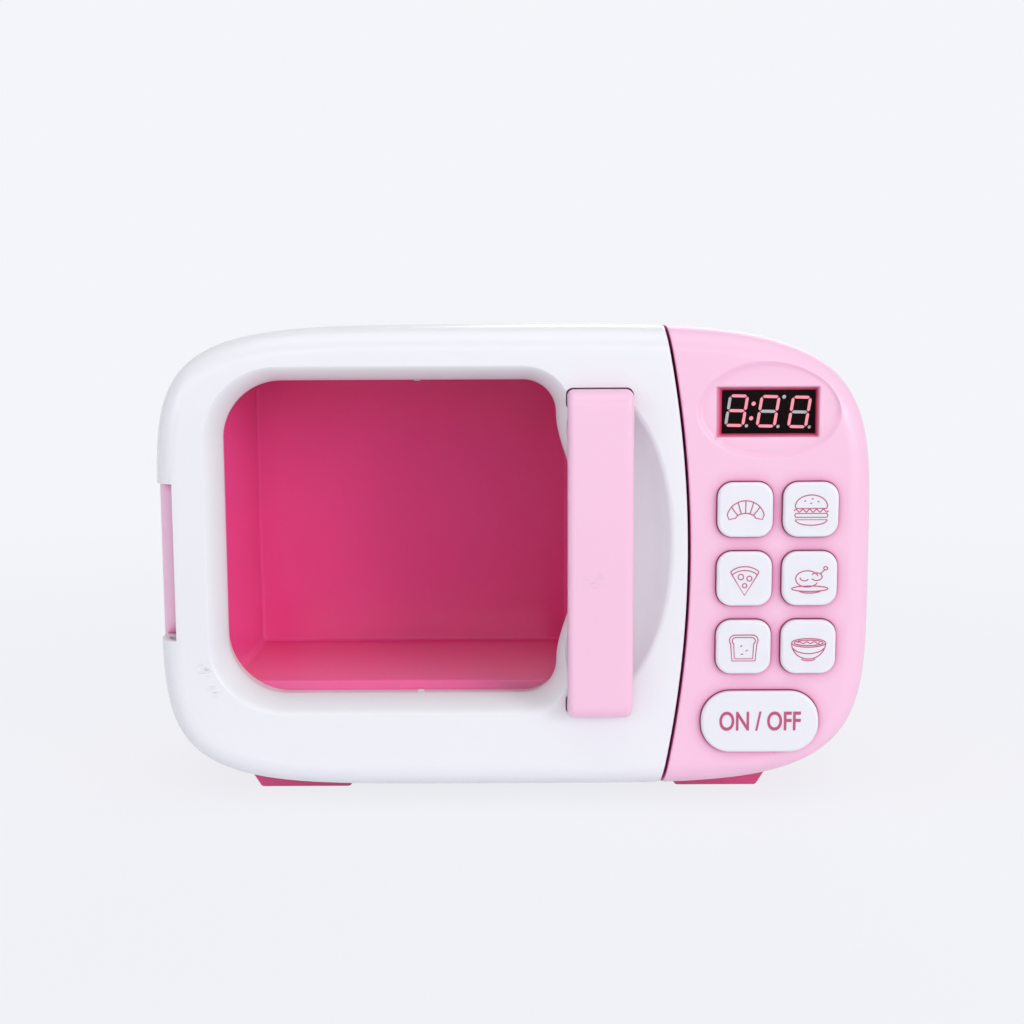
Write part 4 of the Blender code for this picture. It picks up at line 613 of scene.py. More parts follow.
def dishRings(grow, around=96):
    top = front["face"] - dish["lead"]
    wide, tall, deep = dish["width"] + grow, dish["height"] + grow, dish["depth"] + grow
    columns = []
    for step in range(around):
        turn = 2 * math.pi * step / around
        x, z = wide * math.cos(turn), tall * math.sin(turn)
        reach = math.hypot(x, z)
        x, z = x / reach, z / reach
        if grow:
            level = (dish["lead"] + front["wall"] / 2) / deep
            start = math.asin(level)
            profile = [(reach * math.cos(start), deep * level)]
        else:
            level = dish["lead"] / deep
            rimAt = reach * math.sqrt(1 - level ** 2)
            steep = math.atan(deep / reach * math.sqrt(1 - level ** 2) / level)
            low = dish["lead"] + dish["lip"] * math.sin(steep)
            start = math.asin(low / deep)
            lipEnd = rimAt + dish["lip"]
            corners = ((lipEnd, dish["lead"] - lift), (rimAt, dish["lead"]), (reach * math.cos(start), low))
            profile = [(lipEnd, dish["lead"] - overrun)]
            for i in range(8):
                t = i / 8
                weights = ((1 - t) ** 2, 2 * t * (1 - t), t * t)
                spot = (sum(w * corner[k] for w, corner in zip(weights, corners)) for k in (0, 1))
                profile.append(tuple(spot))
            profile.append(corners[2])
        for i in range(1, 19):
            turnDown = start + (math.radians(89.2) - start) * i / 18
            profile.append((reach * math.cos(turnDown), deep * math.sin(turnDown)))
        columns.append([(dish["x"] + x * out, top + down, dish["z"] + z * out) for out, down in profile])
    return [list(row) for row in zip(*columns)]


def handleSeat(name, low, high):
    gap = handle["gap"]
    return lippedHole(name, lambda grow: rounded(
        handle["left"] - gap - grow, handle["right"] + gap + grow, low - gap - grow, high + gap + grow,
        handle["edge"] + grow,
    ), front["face"], -40.0, 0.25)


def onPin(z):
    return (hinge["x"], hinge["y"], z)


def hingeNotch():  # room for the barrel, its neck and the pin in the door's left edge
    low, high = hinge["low"] - hinge["clear"], hinge["high"] + hinge["clear"]
    backEnd = front["back"] + overrun
    neck = (hinge["x"], hinge["neckRight"] + hinge["clear"])
    return [
        box(
            "notch", (beside, hinge["visible"]), (front["face"] - overrun, backEnd),
            (hinge["low"] + hinge["notchLow"], high + hinge["notchHigh"]),
        ),
        rodBetween(
            "notchRound", onPin(low), onPin(high + hinge["roundHigh"]), hinge["barrel"] + hinge["clear"], 64
        ),
        box("neckRoom", neck, (hinge["y"], backEnd), (low, high)),
        rodBetween(
            "pinBore", onPin(hinge["lugLow"] + hinge["pinLow"]), onPin(hinge["lugHigh"] + overrun),
            hinge["pinHole"],
        ),
    ]


def hingeHeel(name):  # the rear left edge turned round the pin, so that the door swings clear of the case
    block = box(name, (beside, hinge["x"]), (hinge["y"], hinge["heelBack"]), (0.0, above))
    return combine(block, rodBetween(name + "Round", onPin(-overrun), onPin(above + overrun), hinge["heel"], 64))


wall = front["wall"]
lugs = (hinge["lugLow"], hinge["lugHigh"])
hollow = combine(
    shellRoom("doorHollow"),
    ("INTERSECT", splitSide("hollowSide", -1, wall)),
    windowFunnel("windowSkin", wall),
    loft("dishSkin", dishRings(wall)),
    box("lugs", (-118.0, hinge["lugRight"]), (-38.0, -24.5), lugs),
)
doorShell = combine(
    swollen("doorForm", front, front["face"], front["back"], 0.0, front["round"]),
    ("INTERSECT", splitSide("doorSide", -1, 0.0, split["doorLip"])),
    hollow,
    windowFunnel("windowCut"),
    loft("dishCut", dishRings(0.0)),
    handleSeat("lowSeat", handle["low"], handle["low"] + handle["leg"]),
    handleSeat("highSeat", handle["high"] - handle["leg"], handle["high"]),
    *hingeNotch(),
    hingeHeel("doorHeel"),
)
finishPiece(doorShell, "doorShell", whiteAbs, "door", ["door_front"])

# Door liner: the inner frame that clamps the window, seen through it and when the door is open

liner = {
    "plate": -26.2, "inset": 2.5, "sleeve": -33.2, "sleeveGrow": 1.7,
    "tabX": -30.0, "tabWidth": 1.9, "tabProud": 2.1, "tabDepth": 1.2,
}
doorScrews = [(-94.0, 141.0), (-94.0, 19.5), (42.0, 146.0), (42.0, 15.0)]
latch = {"x": (49.5, 51.9), "y": (-25.2, -18.0), "z": (78.0, 90.0), "slack": 0.9}
tabs = []
for edge, inward in ((window["low"] - liner["sleeveGrow"], 1), (window["high"] + liner["sleeveGrow"], -1)):
    ends = sorted((edge - inward * 1.5, edge + inward * liner["tabProud"]))
    across = (liner["tabX"] - liner["tabWidth"] / 2, liner["tabX"] + liner["tabWidth"] / 2)
    tabs.append(box("tab", across, (liner["sleeve"], liner["sleeve"] + liner["tabDepth"]), ends, 0.15))


def linerSleeve(grow):
    return windowOutline(window["lap"] + grow)


doorLiner = combine(
    swollen("linerForm", front, liner["plate"], front["back"], liner["inset"], 0.0, 0.5, 4),
    ("INTERSECT", splitSide("linerSide", -1, liner["inset"])),
    ("UNION", plate("sleeve", linerSleeve, liner["sleeve"], -25.0)),
    lippedHole(
        "sleeveCut", lambda grow: windowOutline(liner["sleeveGrow"] + grow), front["back"], -40.0, 0.6, -1
    ),
    ("UNION", joined("tabs", *tabs)),
    ("UNION", box("latchTongue", latch["x"], latch["y"], latch["z"], 0.6)),
    joined("screwSeats", *[
        lippedHole("seat", circle(x, z, 2.1), front["back"], -25.5, 0.3, -1) for x, z in doorScrews
    ]),
    box(
        "hingeRoom", (-118.0, hinge["lugRight"] + hinge["room"]), (-30.0, -20.0),
        (lugs[0] - hinge["room"], lugs[1] + hinge["room"]),
    ),
    hingeHeel("linerHeel"),
)
finishPiece(doorLiner, "doorLiner", whiteAbs, "door", ["door_back"])

pane = plate("pane", linerSleeve, window["paneFront"], window["paneBack"], 0.15, 0.15, 3)
finishPiece(pane, "windowSheet", windowSheet, "door", ["window_pane"])
pane.visible_shadow = False


# Handle: a flat bar that curves back into its two seats

def handleArch():
    back, face = handle["seat"], handle["front"]
    outer, inner, bar, leg = handle["outer"], handle["inner"], handle["bar"], handle["leg"]
    low, high = handle["low"], handle["high"]
    return (
        [(back, low)] + arc(face + outer, low + outer, outer, 270, 180, 14)
        + arc(face + outer, high - outer, outer, 180, 90, 14) + [(back, high), (back, high - leg)]
        + arc(face + bar + inner, high - leg - inner, inner, 90, 180, 10)
        + arc(face + bar + inner, low + leg + inner, inner, 180, 270, 10) + [(back, low + leg)]
    )


bar = loft("bar", [[(x, y, z) for y, z in handleArch()] for x in (handle["left"], handle["right"])])
bar = roundedEdges(bar, handle["edge"], 7, 60)
finishPiece(bar, "doorHandle", paleRoseAbs, "door", ["door_handle"])

# Hinge block: barrel, neck and base

span = (hinge["low"] + hinge["inset"], hinge["high"] - hinge["inset"])
postHeights = (hinge["low"] + hinge["postInset"], hinge["high"] - hinge["postInset"])
blockLeft = case["left"] + hinge["room"]
barrel = plate(
    "barrel", lambda grow: arc(hinge["x"], -hinge["y"], hinge["barrel"] + grow, 0, 360 - 5, 71),
    0.0, hinge["high"] - hinge["low"], 0.5, 0.5, 4,
)
standing = Matrix(((1, 0, 0, 0), (0, 0, -1, 0), (0, 1, 0, 0), (0, 0, 0, 1)))
barrel.data.transform(Matrix.Translation((0, 0, hinge["low"])) @ standing)
combine(
    barrel,
    ("UNION", box("neck", (blockLeft, hinge["neckRight"]), (hinge["y"], hinge["baseBack"]), span)),
    ("UNION", box("base", (blockLeft, hinge["baseRight"]), (case["front"], hinge["baseBack"] - 0.01), span)),
    ("UNION", joined("posts", *[
        peg("post", hinge["postX"], z, hinge["postFront"], hinge["postBack"], hinge["postRadius"])
        for z in postHeights
    ])),
    rodBetween("barrelBore", onPin(40.0), onPin(120.0), hinge["pinHole"]),
)
finishPiece(barrel, "hingeBlock", paleRoseAbs, "case", ["hinge_block"])
print("door ready")

# Control panel with its oval pad, display well and button openings

pad = {"x": 80.9, "z": 128.2, "width": 22.7, "height": 15.4, "depth": 1.1, "slope": 2.4}
display = {
    "left": 66.4, "right": 95.95, "low": 120.65, "high": 134.35, "front": -41.0, "corner": 0.3, "lip": 0.8,
    "flare": (1.9, 0.5, 0.8, 1.1), "back": -41.5, "room": -36.0, "bezel": 3.6, "bezelBack": -41.3,
}
buttonPlaces = [(x, z) for z in (97.1, 75.1, 53.1) for x in (73.5, 94.1)]
button = {"half": 8.72, "radius": 4.8, "gap": 0.16, "front": -48.0, "edge": 1.1, "flange": 1.0, "lip": 0.25}
startButton = {"x": 79.1, "z": 28.7, "halfWidth": 18.8, "halfHeight": 10.0, "radius": 9.4, "flange": 0.8}


def squareCap(x, z):
    half, radius = button["half"], button["radius"]
    return lambda grow: rounded(
        x - half - grow, x + half + grow, z - half - grow, z + half + grow, radius + grow, 10
    )


def longCap(grow):
    width, height = startButton["halfWidth"] + grow, startButton["halfHeight"] + grow
    x, z = startButton["x"], startButton["z"]
    return rounded(x - width, x + width, z - height, z + height, startButton["radius"] + grow, 20)


def padOutline(grow, around=96):
    width, height = pad["width"] + grow, pad["height"] + grow
    turns = [2 * math.pi * i / around for i in range(around)]
    return [(pad["x"] + width * math.cos(t), pad["z"] + height * math.sin(t)) for t in turns]


def displayOutline(grow, share=0.0):  # share 1 is the mouth, wider by the flare of each side
    left, right, low, high = (share * reach + grow for reach in display["flare"])
    return rounded(
        display["left"] - left, display["right"] + right, display["low"] - low, display["high"] + high,
        display["corner"] + grow * 0.6, 5,
    )


def capHole(cap):
    return lippedHole("hole", lambda grow: cap(button["gap"] + grow), front["face"], -40.0, button["lip"])


padRings = [ring(padOutline(0.5), front["face"] - overrun)]
for i in range(13):  # an S-shaped slope from the face down to the pad
    share = i / 12
    y = front["face"] - lift + (pad["depth"] + lift) * share ** 2 * (3 - 2 * share)
    padRings.append(ring(padOutline(0.5 - pad["slope"] * share), y))
padLevel = front["face"] + pad["depth"]
wellRings = [ring(displayOutline(display["lip"], 1.0), padLevel - overrun)]
for s, c in quarter(6):  # the rim of the well is rounded, then its walls run in to the display
    y = padLevel - lift + display["lip"] * (1 - c)
    wellRings.append(ring(displayOutline(display["lip"] * (1 - s), 1.0), y))
wellRings += [ring(displayOutline(0.0), display[end]) for end in ("back", "room")]
bezelX = (display["left"] - display["bezel"], display["right"] + display["bezel"])
bezelZ = (display["low"] - display["bezel"], display["high"] + display["bezel"])
hollow = combine(
    shellRoom("panelHollow"),
    ("INTERSECT", splitSide("hollowSide", 1, wall)),
    box("bezel", bezelX, (front["face"], display["bezelBack"]), bezelZ),
)
panel = combine(
    swollen("panelForm", front, front["face"], front["back"], 0.0, front["round"]),
    ("INTERSECT", splitSide("panelSide", 1, 0.0, split["panelLip"])),
    hollow,
    loft("padCut", padRings),
    loft("wellCut", wellRings),
    joined("buttonHoles", *[capHole(squareCap(x, z)) for x, z in buttonPlaces], capHole(longCap)),
)
finishPiece(panel, "controlPanel", paleRoseAbs, "case", ["control_panel"])
panel.data.materials.append(shadedWellPinkAbs)
wellX, wellZ = (display["left"] - 2.6, display["right"] + 1.2), (display["low"] - 1.5, display["high"] + 1.8)
wellY = (padLevel + 0.35, -38.0)
for face in panel.data.polygons:  # the walls of the well, which get the painted well shade
    place = [c / metresPerMm for c in face.center]
    if all(low < c < high for c, (low, high) in zip(place, (wellX, wellY, wellZ))):
        face.material_index = 1


def pushCap(outline, flange, number, body, node):  # flange behind, straight sides, round edge
    shoulder = front["face"] + wall + 0.3
    rings = [ring(outline(flange), shoulder + 1.5), ring(outline(flange), shoulder)]
    rings.append(ring(outline(0.0), shoulder))
    edge, face = button["edge"], button["front"]
    rings += [ring(outline(-edge * (1 - c)), face + edge * (1 - s)) for s, c in quarter(7)]
    finishPiece(loft("cap", rings), number, capAbs, body, [node])


for number, place in enumerate(buttonPlaces, 1):
    node = f"food_button_{number}"
    pushCap(squareCap(*place), button["flange"], f"foodButton{number}", node + "_cap", node)
pushCap(longCap, startButton["flange"], "startButton", "start_button_cap", "start_button")
print("panel ready")

# Case: the front chassis with the cooking cavity, and the rear housing

cavity = {
    "left": -94.5, "right": 44.0, "low": 37.0, "high": 139.5, "back": 39.0, "draft": 1.7, "wall": 2.0,
    "corner": 2.2, "mouthLip": 0.8, "backLip": 1.2,
}
caseScrews = [(-60.0, 146.4), (98.0, 128.0), (-85.0, 20.0), (96.5, 22.5)]


def cavityOutline(grow, inset):
    return rounded(
        cavity["left"] - grow + inset, cavity["right"] + grow - inset,
        cavity["low"] - grow, cavity["high"] + grow, cavity["corner"] + max(grow, -1.5), 8,
    )


mouth, reach = case["front"], cavity["back"] - case["front"]
lip = cavity["mouthLip"]
cavityRings = [ring(cavityOutline(lip, 0.0), mouth - overrun)]
for s, c in quarter(6):
    y = mouth - lift + lip * (1 - c)
    cavityRings.append(ring(cavityOutline(lip * (1 - s), cavity["draft"] * (y - mouth) / reach), y))
lip = cavity["backLip"]
for s, c in quarter(6):  # the back edge is rounded too
    y = cavity["back"] - lip * (1 - s)
    cavityRings.append(ring(cavityOutline(-lip * (1 - c), cavity["draft"] * (y - mouth) / reach), y))
seam = {"ends": (-21.4, -15.4), "inset": 2.5, "hollowEnds": (-23.0, -12.0), "hollowInset": 4.1}
wirePort = {"x": (71.0, 89.0), "z": (75.0, 89.0), "corner": 1.5}
through = (-30.0, -15.0)  # from in front of the chassis plate to behind it
cavityShell = [
    ring(cavityOutline(cavity["wall"], 0.0), seam["ends"][0]),
    ring(cavityOutline(cavity["wall"], cavity["draft"]), cavity["back"] + cavity["wall"]),
]
room = hinge["room"]
pocketX, pocketZ = (-115.0, hinge["baseRight"] + room), (span[0] - room, span[1] + room)
slotX, slotZ = ((latch[side][0] - latch["slack"], latch[side][1] + latch["slack"]) for side in "xz")
chassis = combine(
    swollen("chassisForm", case, case["front"], case["plateBack"], 0.0, 1.2, 0.0, 5),
    ("UNION", combine(
        swollen("lipForm", case, *seam["ends"], seam["inset"], 0.0, 0.0, 2),
        swollen("lipHollow", case, *seam["hollowEnds"], seam["hollowInset"], 0.0, 0.0, 2),
    )),
    ("UNION", loft("cavityShell", cavityShell)),
    loft("cavityCut", cavityRings),
    box("latchSlot", slotX, through, slotZ),
    box("hingePocket", pocketX, (through[0], hinge["baseBack"] + room), pocketZ),
    rodBetween(
        "barrelRoom", onPin(hinge["low"] - room), onPin(hinge["high"] + room), hinge["barrel"] + room, 64
    ),
    box("wirePort", wirePort["x"], through, wirePort["z"], wirePort["corner"]),
)
finishPiece(chassis, "caseChassis", litCavityPinkAbs, "case", ["front_chassis"])

footing = {  # where the four feet stand, and how much wider they are at their top
    "x": ((-84.8, -54.9), (54.9, 82.0)), "y": ((-22.4, -5.5), (30.0, 43.0)), "height": 10.0,
    "flare": 6.0, "sideFlare": 2.0, "clear": 0.4, "edge": 0.8,
}
feet = []
for lowX, highX in footing["x"]:
    for start, end in footing["y"]:
        rings = []
        for share in (0.0, 1.0):
            z, flare, sideFlare = (share * footing[key] for key in ("height", "flare", "sideFlare"))
            left, right = lowX - flare, highX + flare
            near, far = max(start - sideFlare, case["front"] + footing["clear"]), end + sideFlare
            rings.append([(left, near, z), (right, near, z), (right, far, z), (left, far, z)])
        feet.append(roundedEdges(loft("foot", rings), footing["edge"], 4))
bay = {"x": 76.5, "low": 46.0, "high": 100.9, "half": 22.35, "wall": 1.6, "floor": 38.4, "front": 36.8}
cover = {
    "left": 51.55, "right": 101.45, "low": 43.4, "high": 107.5, "front": 53.2, "rim": 2.5, "frame": 50.3,
    "gap": 0.3, "corner": 2.2, "seat": 52.9, "seatCorner": 2.5, "screwZ": 105.0, "screwSeat": 2.1,
    "screwFace": 54.1, "post": 3.0, "postFront": 43.9, "pilot": 1.1, "pilotFront": 46.4,
}
speaker = {
    "x": 73.0, "z": 25.0, "slots": 5, "pitch": 3.6, "slot": 1.6, "seat": 11.0, "seatEnds": (49.5, 52.8),
    "ring": 15.4, "ringFront": 43.6, "room": 13.8, "roomEnds": (40.0, 49.9),
}
tube = {
    "radius": 3.8, "front": -12.7, "bore": 2.8, "boreFront": -10.2, "hole": 1.5, "holeEnds": (-16.0, -9.0),
}


def around(of, grow):  # the extent of the bay or its cover in X and Z, grown by this much
    sides = (of["left"], of["right"]) if "left" in of else (of["x"] - of["half"], of["x"] + of["half"])
    return (sides[0] - grow, sides[1] + grow), (of["low"] - grow, of["high"] + grow)


def coverOutline(extra, radius):
    return lambda grow: rounded(*sum(around(cover, extra + grow), ()), radius + grow)


bayBox, bayFrame, bayRoom = around(bay, bay["wall"]), around(cover, cover["rim"]), around(bay, 0.0)
housingHollow = combine(
    swollen(
        "housingHollow", case, case["housing"] - overrun, case["back"] - case["wall"], case["wall"],
        0.0, case["round"] - case["wall"], 6,
    ),
    box("bayBox", bayBox[0], (bay["front"], past), bayBox[1]),
    box("bayFrame", bayFrame[0], (cover["frame"], past), bayFrame[1]),
    joined("tubes", *[peg("tube", x, z, tube["front"], past, tube["radius"]) for x, z in caseScrews]),
    peg("coverPost", bay["x"], cover["screwZ"], cover["postFront"], past, cover["post"]),
    peg("speakerRing", speaker["x"], speaker["z"], speaker["ringFront"], past, speaker["ring"], 64),
)

# Grille slots, each as long as the round seat behind it lets it be
slotTree, known = newTree("grilleSlots", {
    "Slots": speaker["slots"], "Pitch": speaker["pitch"], "Slot Width": speaker["slot"],
    "Seat Radius": speaker["seat"], "Centre X": speaker["x"], "Centre Z": speaker["z"], "Back": case["back"],
})
known["index"] = addNode(slotTree, "InputIndex").outputs[0]
mathChain(slotTree, known, (
    "last = slots - 1.0; middle = last / 2.0; step = index - middle; rise = step * pitch; "
    "riseSquare = rise * rise; "
    "inner = seatRadius - slotWidth; innerSquare = inner * inner; room = innerSquare - riseSquare; "
    "halfLength = SQRT room; halfSlot = slotWidth / 2.0; straight = halfLength - halfSlot; "
    "height = rise + centreZ"
))
rows = addNode(slotTree, "MeshLine", {"Count": known["slots"]})
target = addNode(slotTree, "CombineXYZ", {0: known["centreX"], 1: known["back"], 2: known["height"]})
rows = addNode(slotTree, "SetPosition", {"Geometry": rows, "Position": target})
rows = addNode(
    slotTree, "StoreNamedAttribute", {"Geometry": rows, "Name": "straight", "Value": known["straight"]},
    data_type="FLOAT", domain="POINT",
)
pill = addNode(
    slotTree, "MeshCylinder", {"Vertices": 32, "Side Segments": 8, "Radius": known["halfSlot"], "Depth": 8.0},
    fill_type="NGON",
)
pill = addNode(slotTree, "Transform", {"Geometry": pill, "Rotation": (-rightAngle, 0.0, 0.0)})
placed = addNode(slotTree, "InstanceOnPoints", {"Points": rows, "Instance": pill})
solid = addNode(slotTree, "RealizeInstances", {"Geometry": placed})
reachAlong = addNode(slotTree, "InputNamedAttribute", {"Name": "straight"}, data_type="FLOAT")
known["along"] = reachAlong.outputs[0]
mathChain(slotTree, known, "fromMiddle = x - centreX; side = SIGN fromMiddle; shift = side * along")
target = addNode(slotTree, "CombineXYZ", {0: known["shift"]})
endTree(slotTree, known, addNode(slotTree, "SetPosition", {"Geometry": solid, "Offset": target}))

housing = combine(
    swollen("housingForm", case, case["housing"], case["back"], 0.0, 0.0, case["round"]),
    ("UNION", joined("feet", *feet)),
    housingHollow,
    box("bayRoom", bayRoom[0], (bay["floor"], past), bayRoom[1]),
    lippedHole(
        "coverSeat", coverOutline(cover["gap"], cover["seatCorner"]), case["back"], cover["seat"], 0.35, -1
    ),
    peg("speakerRoom", speaker["x"], speaker["z"], *speaker["roomEnds"], speaker["room"], 64),
    peg("speakerMouth", speaker["x"], speaker["z"], *speaker["seatEnds"], speaker["seat"], 64),
    runTree(slotTree, "grilleSlots", {"Finish": shadedCasePinkAbs}),
    joined("tubeBores", *[
        lippedHole("bore", circle(x, z, tube["bore"]), case["back"], tube["boreFront"], 0.5, -1)
        for x, z in caseScrews
    ]),
    joined("tubeHoles", *[peg("tubeHole", x, z, *tube["holeEnds"], tube["hole"]) for x, z in caseScrews]),
    peg("coverPilot", bay["x"], cover["screwZ"], cover["pilotFront"], past, cover["pilot"]),
)
finishPiece(housing, "rearHousing", shadedCasePinkAbs, "case", ["rear_housing"])

coverPlate = combine(
    plate("cover", coverOutline(0.0, cover["corner"]), cover["front"], case["back"], 0.0, 0.35, 4),
    lippedHole(
        "coverScrewSeat", circle(bay["x"], cover["screwZ"], cover["screwSeat"]),
        case["back"], cover["screwFace"], 0.25, -1,
    ),
    peg("coverScrewHole", bay["x"], cover["screwZ"], cover["front"] - overrun, past, cover["pilot"]),
)
finishPiece(coverPlate, "batteryCover", shadedCasePinkAbs, "case", ["battery_cover"])
print("case ready")

# Cross-head screws at the places that show from behind

screwTree, known = newTree("crossScrews", {
    "Head Sides": 40, "Shank Length": 4.5, "Shank Radius": 0.48, "Slot Width": 0.3, "Slot Length": 1.2,
})
head = addNode(
    screwTree, "MeshCylinder",
    {"Vertices": known["headSides"], "Side Segments": 8, "Radius": 1.0, "Depth": 1.0},
    fill_type="NGON",
)
mathChain(screwTree, known, (
    "level = z + 0.5; over = level - 0.45; above = over max 0.0; part = above / 0.55; square = part * part; "
    "draw = square * 0.42; scale = 1.0 - draw; newX = x * scale; newY = y * scale; "
    "halfShank = shankLength / -2.0; shankPlace = halfShank + 0.05"
))
target = addNode(screwTree, "CombineXYZ", {0: known["newX"], 1: known["newY"], 2: known["level"]})
head = addNode(screwTree, "SetPosition", {"Geometry": head, "Position": target})
shank = addNode(
    screwTree, "MeshCylinder",
    {"Vertices": 20, "Radius": known["shankRadius"], "Depth": known["shankLength"]},
    fill_type="NGON",
)
shankSpot = addNode(screwTree, "CombineXYZ", {2: known["shankPlace"]})
shank = addNode(screwTree, "Transform", {"Geometry": shank, "Translation": shankSpot})
cross = []
for turn in (0.0, rightAngle):
    size = addNode(screwTree, "CombineXYZ", {0: known["slotLength"], 1: known["slotWidth"], 2: 1.0})
    blade = addNode(screwTree, "MeshCube", {"Size": size})
    cross.append(addNode(
        screwTree, "Transform",
        {"Geometry": blade, "Translation": (0.0, 0.0, 1.05), "Rotation": (0.0, 0.0, turn)},
    ))
whole = addNode(screwTree, "MeshBoolean", operation="UNION")
driven = addNode(screwTree, "MeshBoolean", {"Mesh 1": whole}, operation="DIFFERENCE")
for target, items in ((whole, (head, shank)), (driven, cross)):
    for item in items:
        feed(screwTree, target, {"Mesh 2": item})
size = addNode(screwTree, "InputNamedAttribute", {"Name": "size"}, data_type="FLOAT_VECTOR")
turnBy = addNode(screwTree, "InputNamedAttribute", {"Name": "turn"}, data_type="FLOAT")
facing = addNode(screwTree, "CombineXYZ", {0: -rightAngle, 1: turnBy})
endTree(screwTree, known, addNode(
    screwTree, "InstanceOnPoints",
    {"Points": known["geometry"], "Instance": driven, "Scale": size, "Rotation": facing},
))


def pointMesh(name, places, attributes):
    mesh = bpy.data.meshes.new(name)
    mesh.from_pydata(places, [], [])
    for label, (kind, values) in attributes.items():
        layer = mesh.attributes.new(label, kind, "POINT")
        for item, value in zip(layer.data, values):
            setattr(item, "vector" if kind == "FLOAT_VECTOR" else "value", value)
    return mesh


def screwSet(name, rows, body, nodes):  # rows of place, head radius and head height
    sizes = [(row[1], row[1], row[2]) for row in rows]
    turns = [0.4 + 1.1 * i for i in range(len(rows))]
    attributes = {"size": ("FLOAT_VECTOR", sizes), "turn": ("FLOAT", turns)}
    mesh = pointMesh(name, [row[0] for row in rows], attributes)
    piece = runTree(screwTree, name, {"Finish": zincSteel}, mesh)
    finishPiece(piece, name, zincSteel, body, nodes, 40.0)


screwSet(
    "caseScrews",
    [((x, -9.95, z), 2.6, 1.7) for x, z in caseScrews] + [((bay["x"], 54.2, cover["screwZ"]), 1.9, 0.7)],
    "case", [f"case_screw_{n}" for n in range(1, 5)] + ["battery_cover_screw"],
)
screwSet(
    "doorScrews", [((x, -25.4, z), 1.9, 1.25) for x, z in doorScrews],
    "door", [f"door_screw_{n}" for n in range(1, 5)],
)

# Display: segments and dots on the black block, as instances on marked points

digit = {
    "middleX": (71.15, 81.1, 91.0), "middleZ": 127.6, "halfHeight": 4.65, "halfWidth": 2.7, "thick": 0.93,
    "lean": 0.155, "tilt": -0.024, "tiltX": 80.8, "gap": 0.2, "dot": 0.6, "rise": 0.06,
}
lit = ("adgbc", "abcdef", "abcdef")
segmentTree, known = newTree("displaySegments", {
    "Lit Finish": None, "Dot Radius": digit["dot"], "Rise": digit["rise"], "Lean": digit["lean"],
    "Middle Z": digit["middleZ"], "Tilt": digit["tilt"], "Middle X": digit["tiltX"],
})
marked = {
    label: addNode(segmentTree, "InputNamedAttribute", {"Name": label}, data_type=kind)
    for label, kind in (("turn", "FLOAT"), ("kind", "INT"), ("size", "FLOAT_VECTOR"), ("lit", "BOOLEAN"))
}
hexagon = addNode(
    segmentTree, "MeshCylinder", {"Vertices": 6, "Radius": 1.0, "Depth": known["rise"]}, fill_type="NGON"
)
mathChain(segmentTree, known, (
    "wide = ABSOLUTE x; isTip = wide > 0.75; side = SIGN x; tip = isTip * 0.22; reach = tip + 0.78; "
    "newX = reach * side; newY = y / 1.732"
))
target = addNode(segmentTree, "CombineXYZ", {0: known["newX"], 1: known["newY"], 2: known["z"]})
hexagon = addNode(segmentTree, "SetPosition", {"Geometry": hexagon, "Position": target})
disc = addNode(
    segmentTree, "MeshCylinder", {"Vertices": 28, "Radius": known["dotRadius"], "Depth": known["rise"]},
    fill_type="NGON",
)
kinds = addNode(segmentTree, "GeometryToInstance")
for item in (disc, hexagon):  # the last link made comes first
    feed(segmentTree, kinds, {0: item})
turned = addNode(segmentTree, "CombineXYZ", {0: rightAngle, 1: marked["turn"]})
placed = addNode(segmentTree, "InstanceOnPoints", {
    "Points": known["geometry"], "Instance": kinds, "Pick Instance": True, "Instance Index": marked["kind"],
    "Scale": marked["size"], "Rotation": turned,
})
real = addNode(segmentTree, "RealizeInstances", {"Geometry": placed})
mathChain(segmentTree, known, (
    "above = z - middleZ; shift = above * lean; beside = x - middleX; drop = beside * tilt"
))
target = addNode(segmentTree, "CombineXYZ", {0: known["shift"], 2: known["drop"]})
real = addNode(segmentTree, "SetPosition", {"Geometry": real, "Offset": target})
endTree(segmentTree, known, real, (marked["lit"], known["litFinish"]))

marks = []  # place, turn, kind, size, lit
y = display["front"] - digit["rise"] / 2
upright, flat = digit["halfHeight"] / 2 - digit["gap"], digit["halfWidth"] - digit["gap"]
w, h = digit["halfWidth"], digit["halfHeight"]
spots = {
    "a": (0, h, 0), "g": (0, 0, 0), "d": (0, -h, 0), "f": (-w, h / 2, 1), "b": (w, h / 2, 1),
    "e": (-w, -h / 2, 1), "c": (w, -h / 2, 1),
}


def dot(x, dz, size, isLit):
    marks.append(((x, y, digit["middleZ"] + dz), 0.0, 1, (size, size, 1.0), isLit))


for number, x in enumerate(digit["middleX"]):
    for label, (dx, dz, stands) in spots.items():
        size = (upright if stands else flat, digit["thick"], 1.0)
        marks.append(((x + dx, y, digit["middleZ"] + dz), rightAngle * stands, 0, size, label in lit[number]))
    dot(x + w + 1.2, -h - 0.05, 0.85, False)
for dz in (-2.3, 2.3):
    dot((digit["middleX"][0] + digit["middleX"][1]) / 2, dz, 1.1, True)
dot((digit["middleX"][1] + digit["middleX"][2]) / 2 - 0.7, h, 1.0, False)
places, turns, sorts, sizes, glows = zip(*marks)
mesh = pointMesh("segments", places, {
    "turn": ("FLOAT", turns), "kind": ("INT", sorts), "size": ("FLOAT_VECTOR", sizes),
    "lit": ("BOOLEAN", glows),
})
segments = runTree(segmentTree, "displaySegments", {"Finish": restSegment, "Lit Finish": litSegment}, mesh)
finishPiece(segments, "displaySegments", None, "case", (), 40.0, False)

# Printed line pictures on the caps, as flat ink ribbons along their strokes

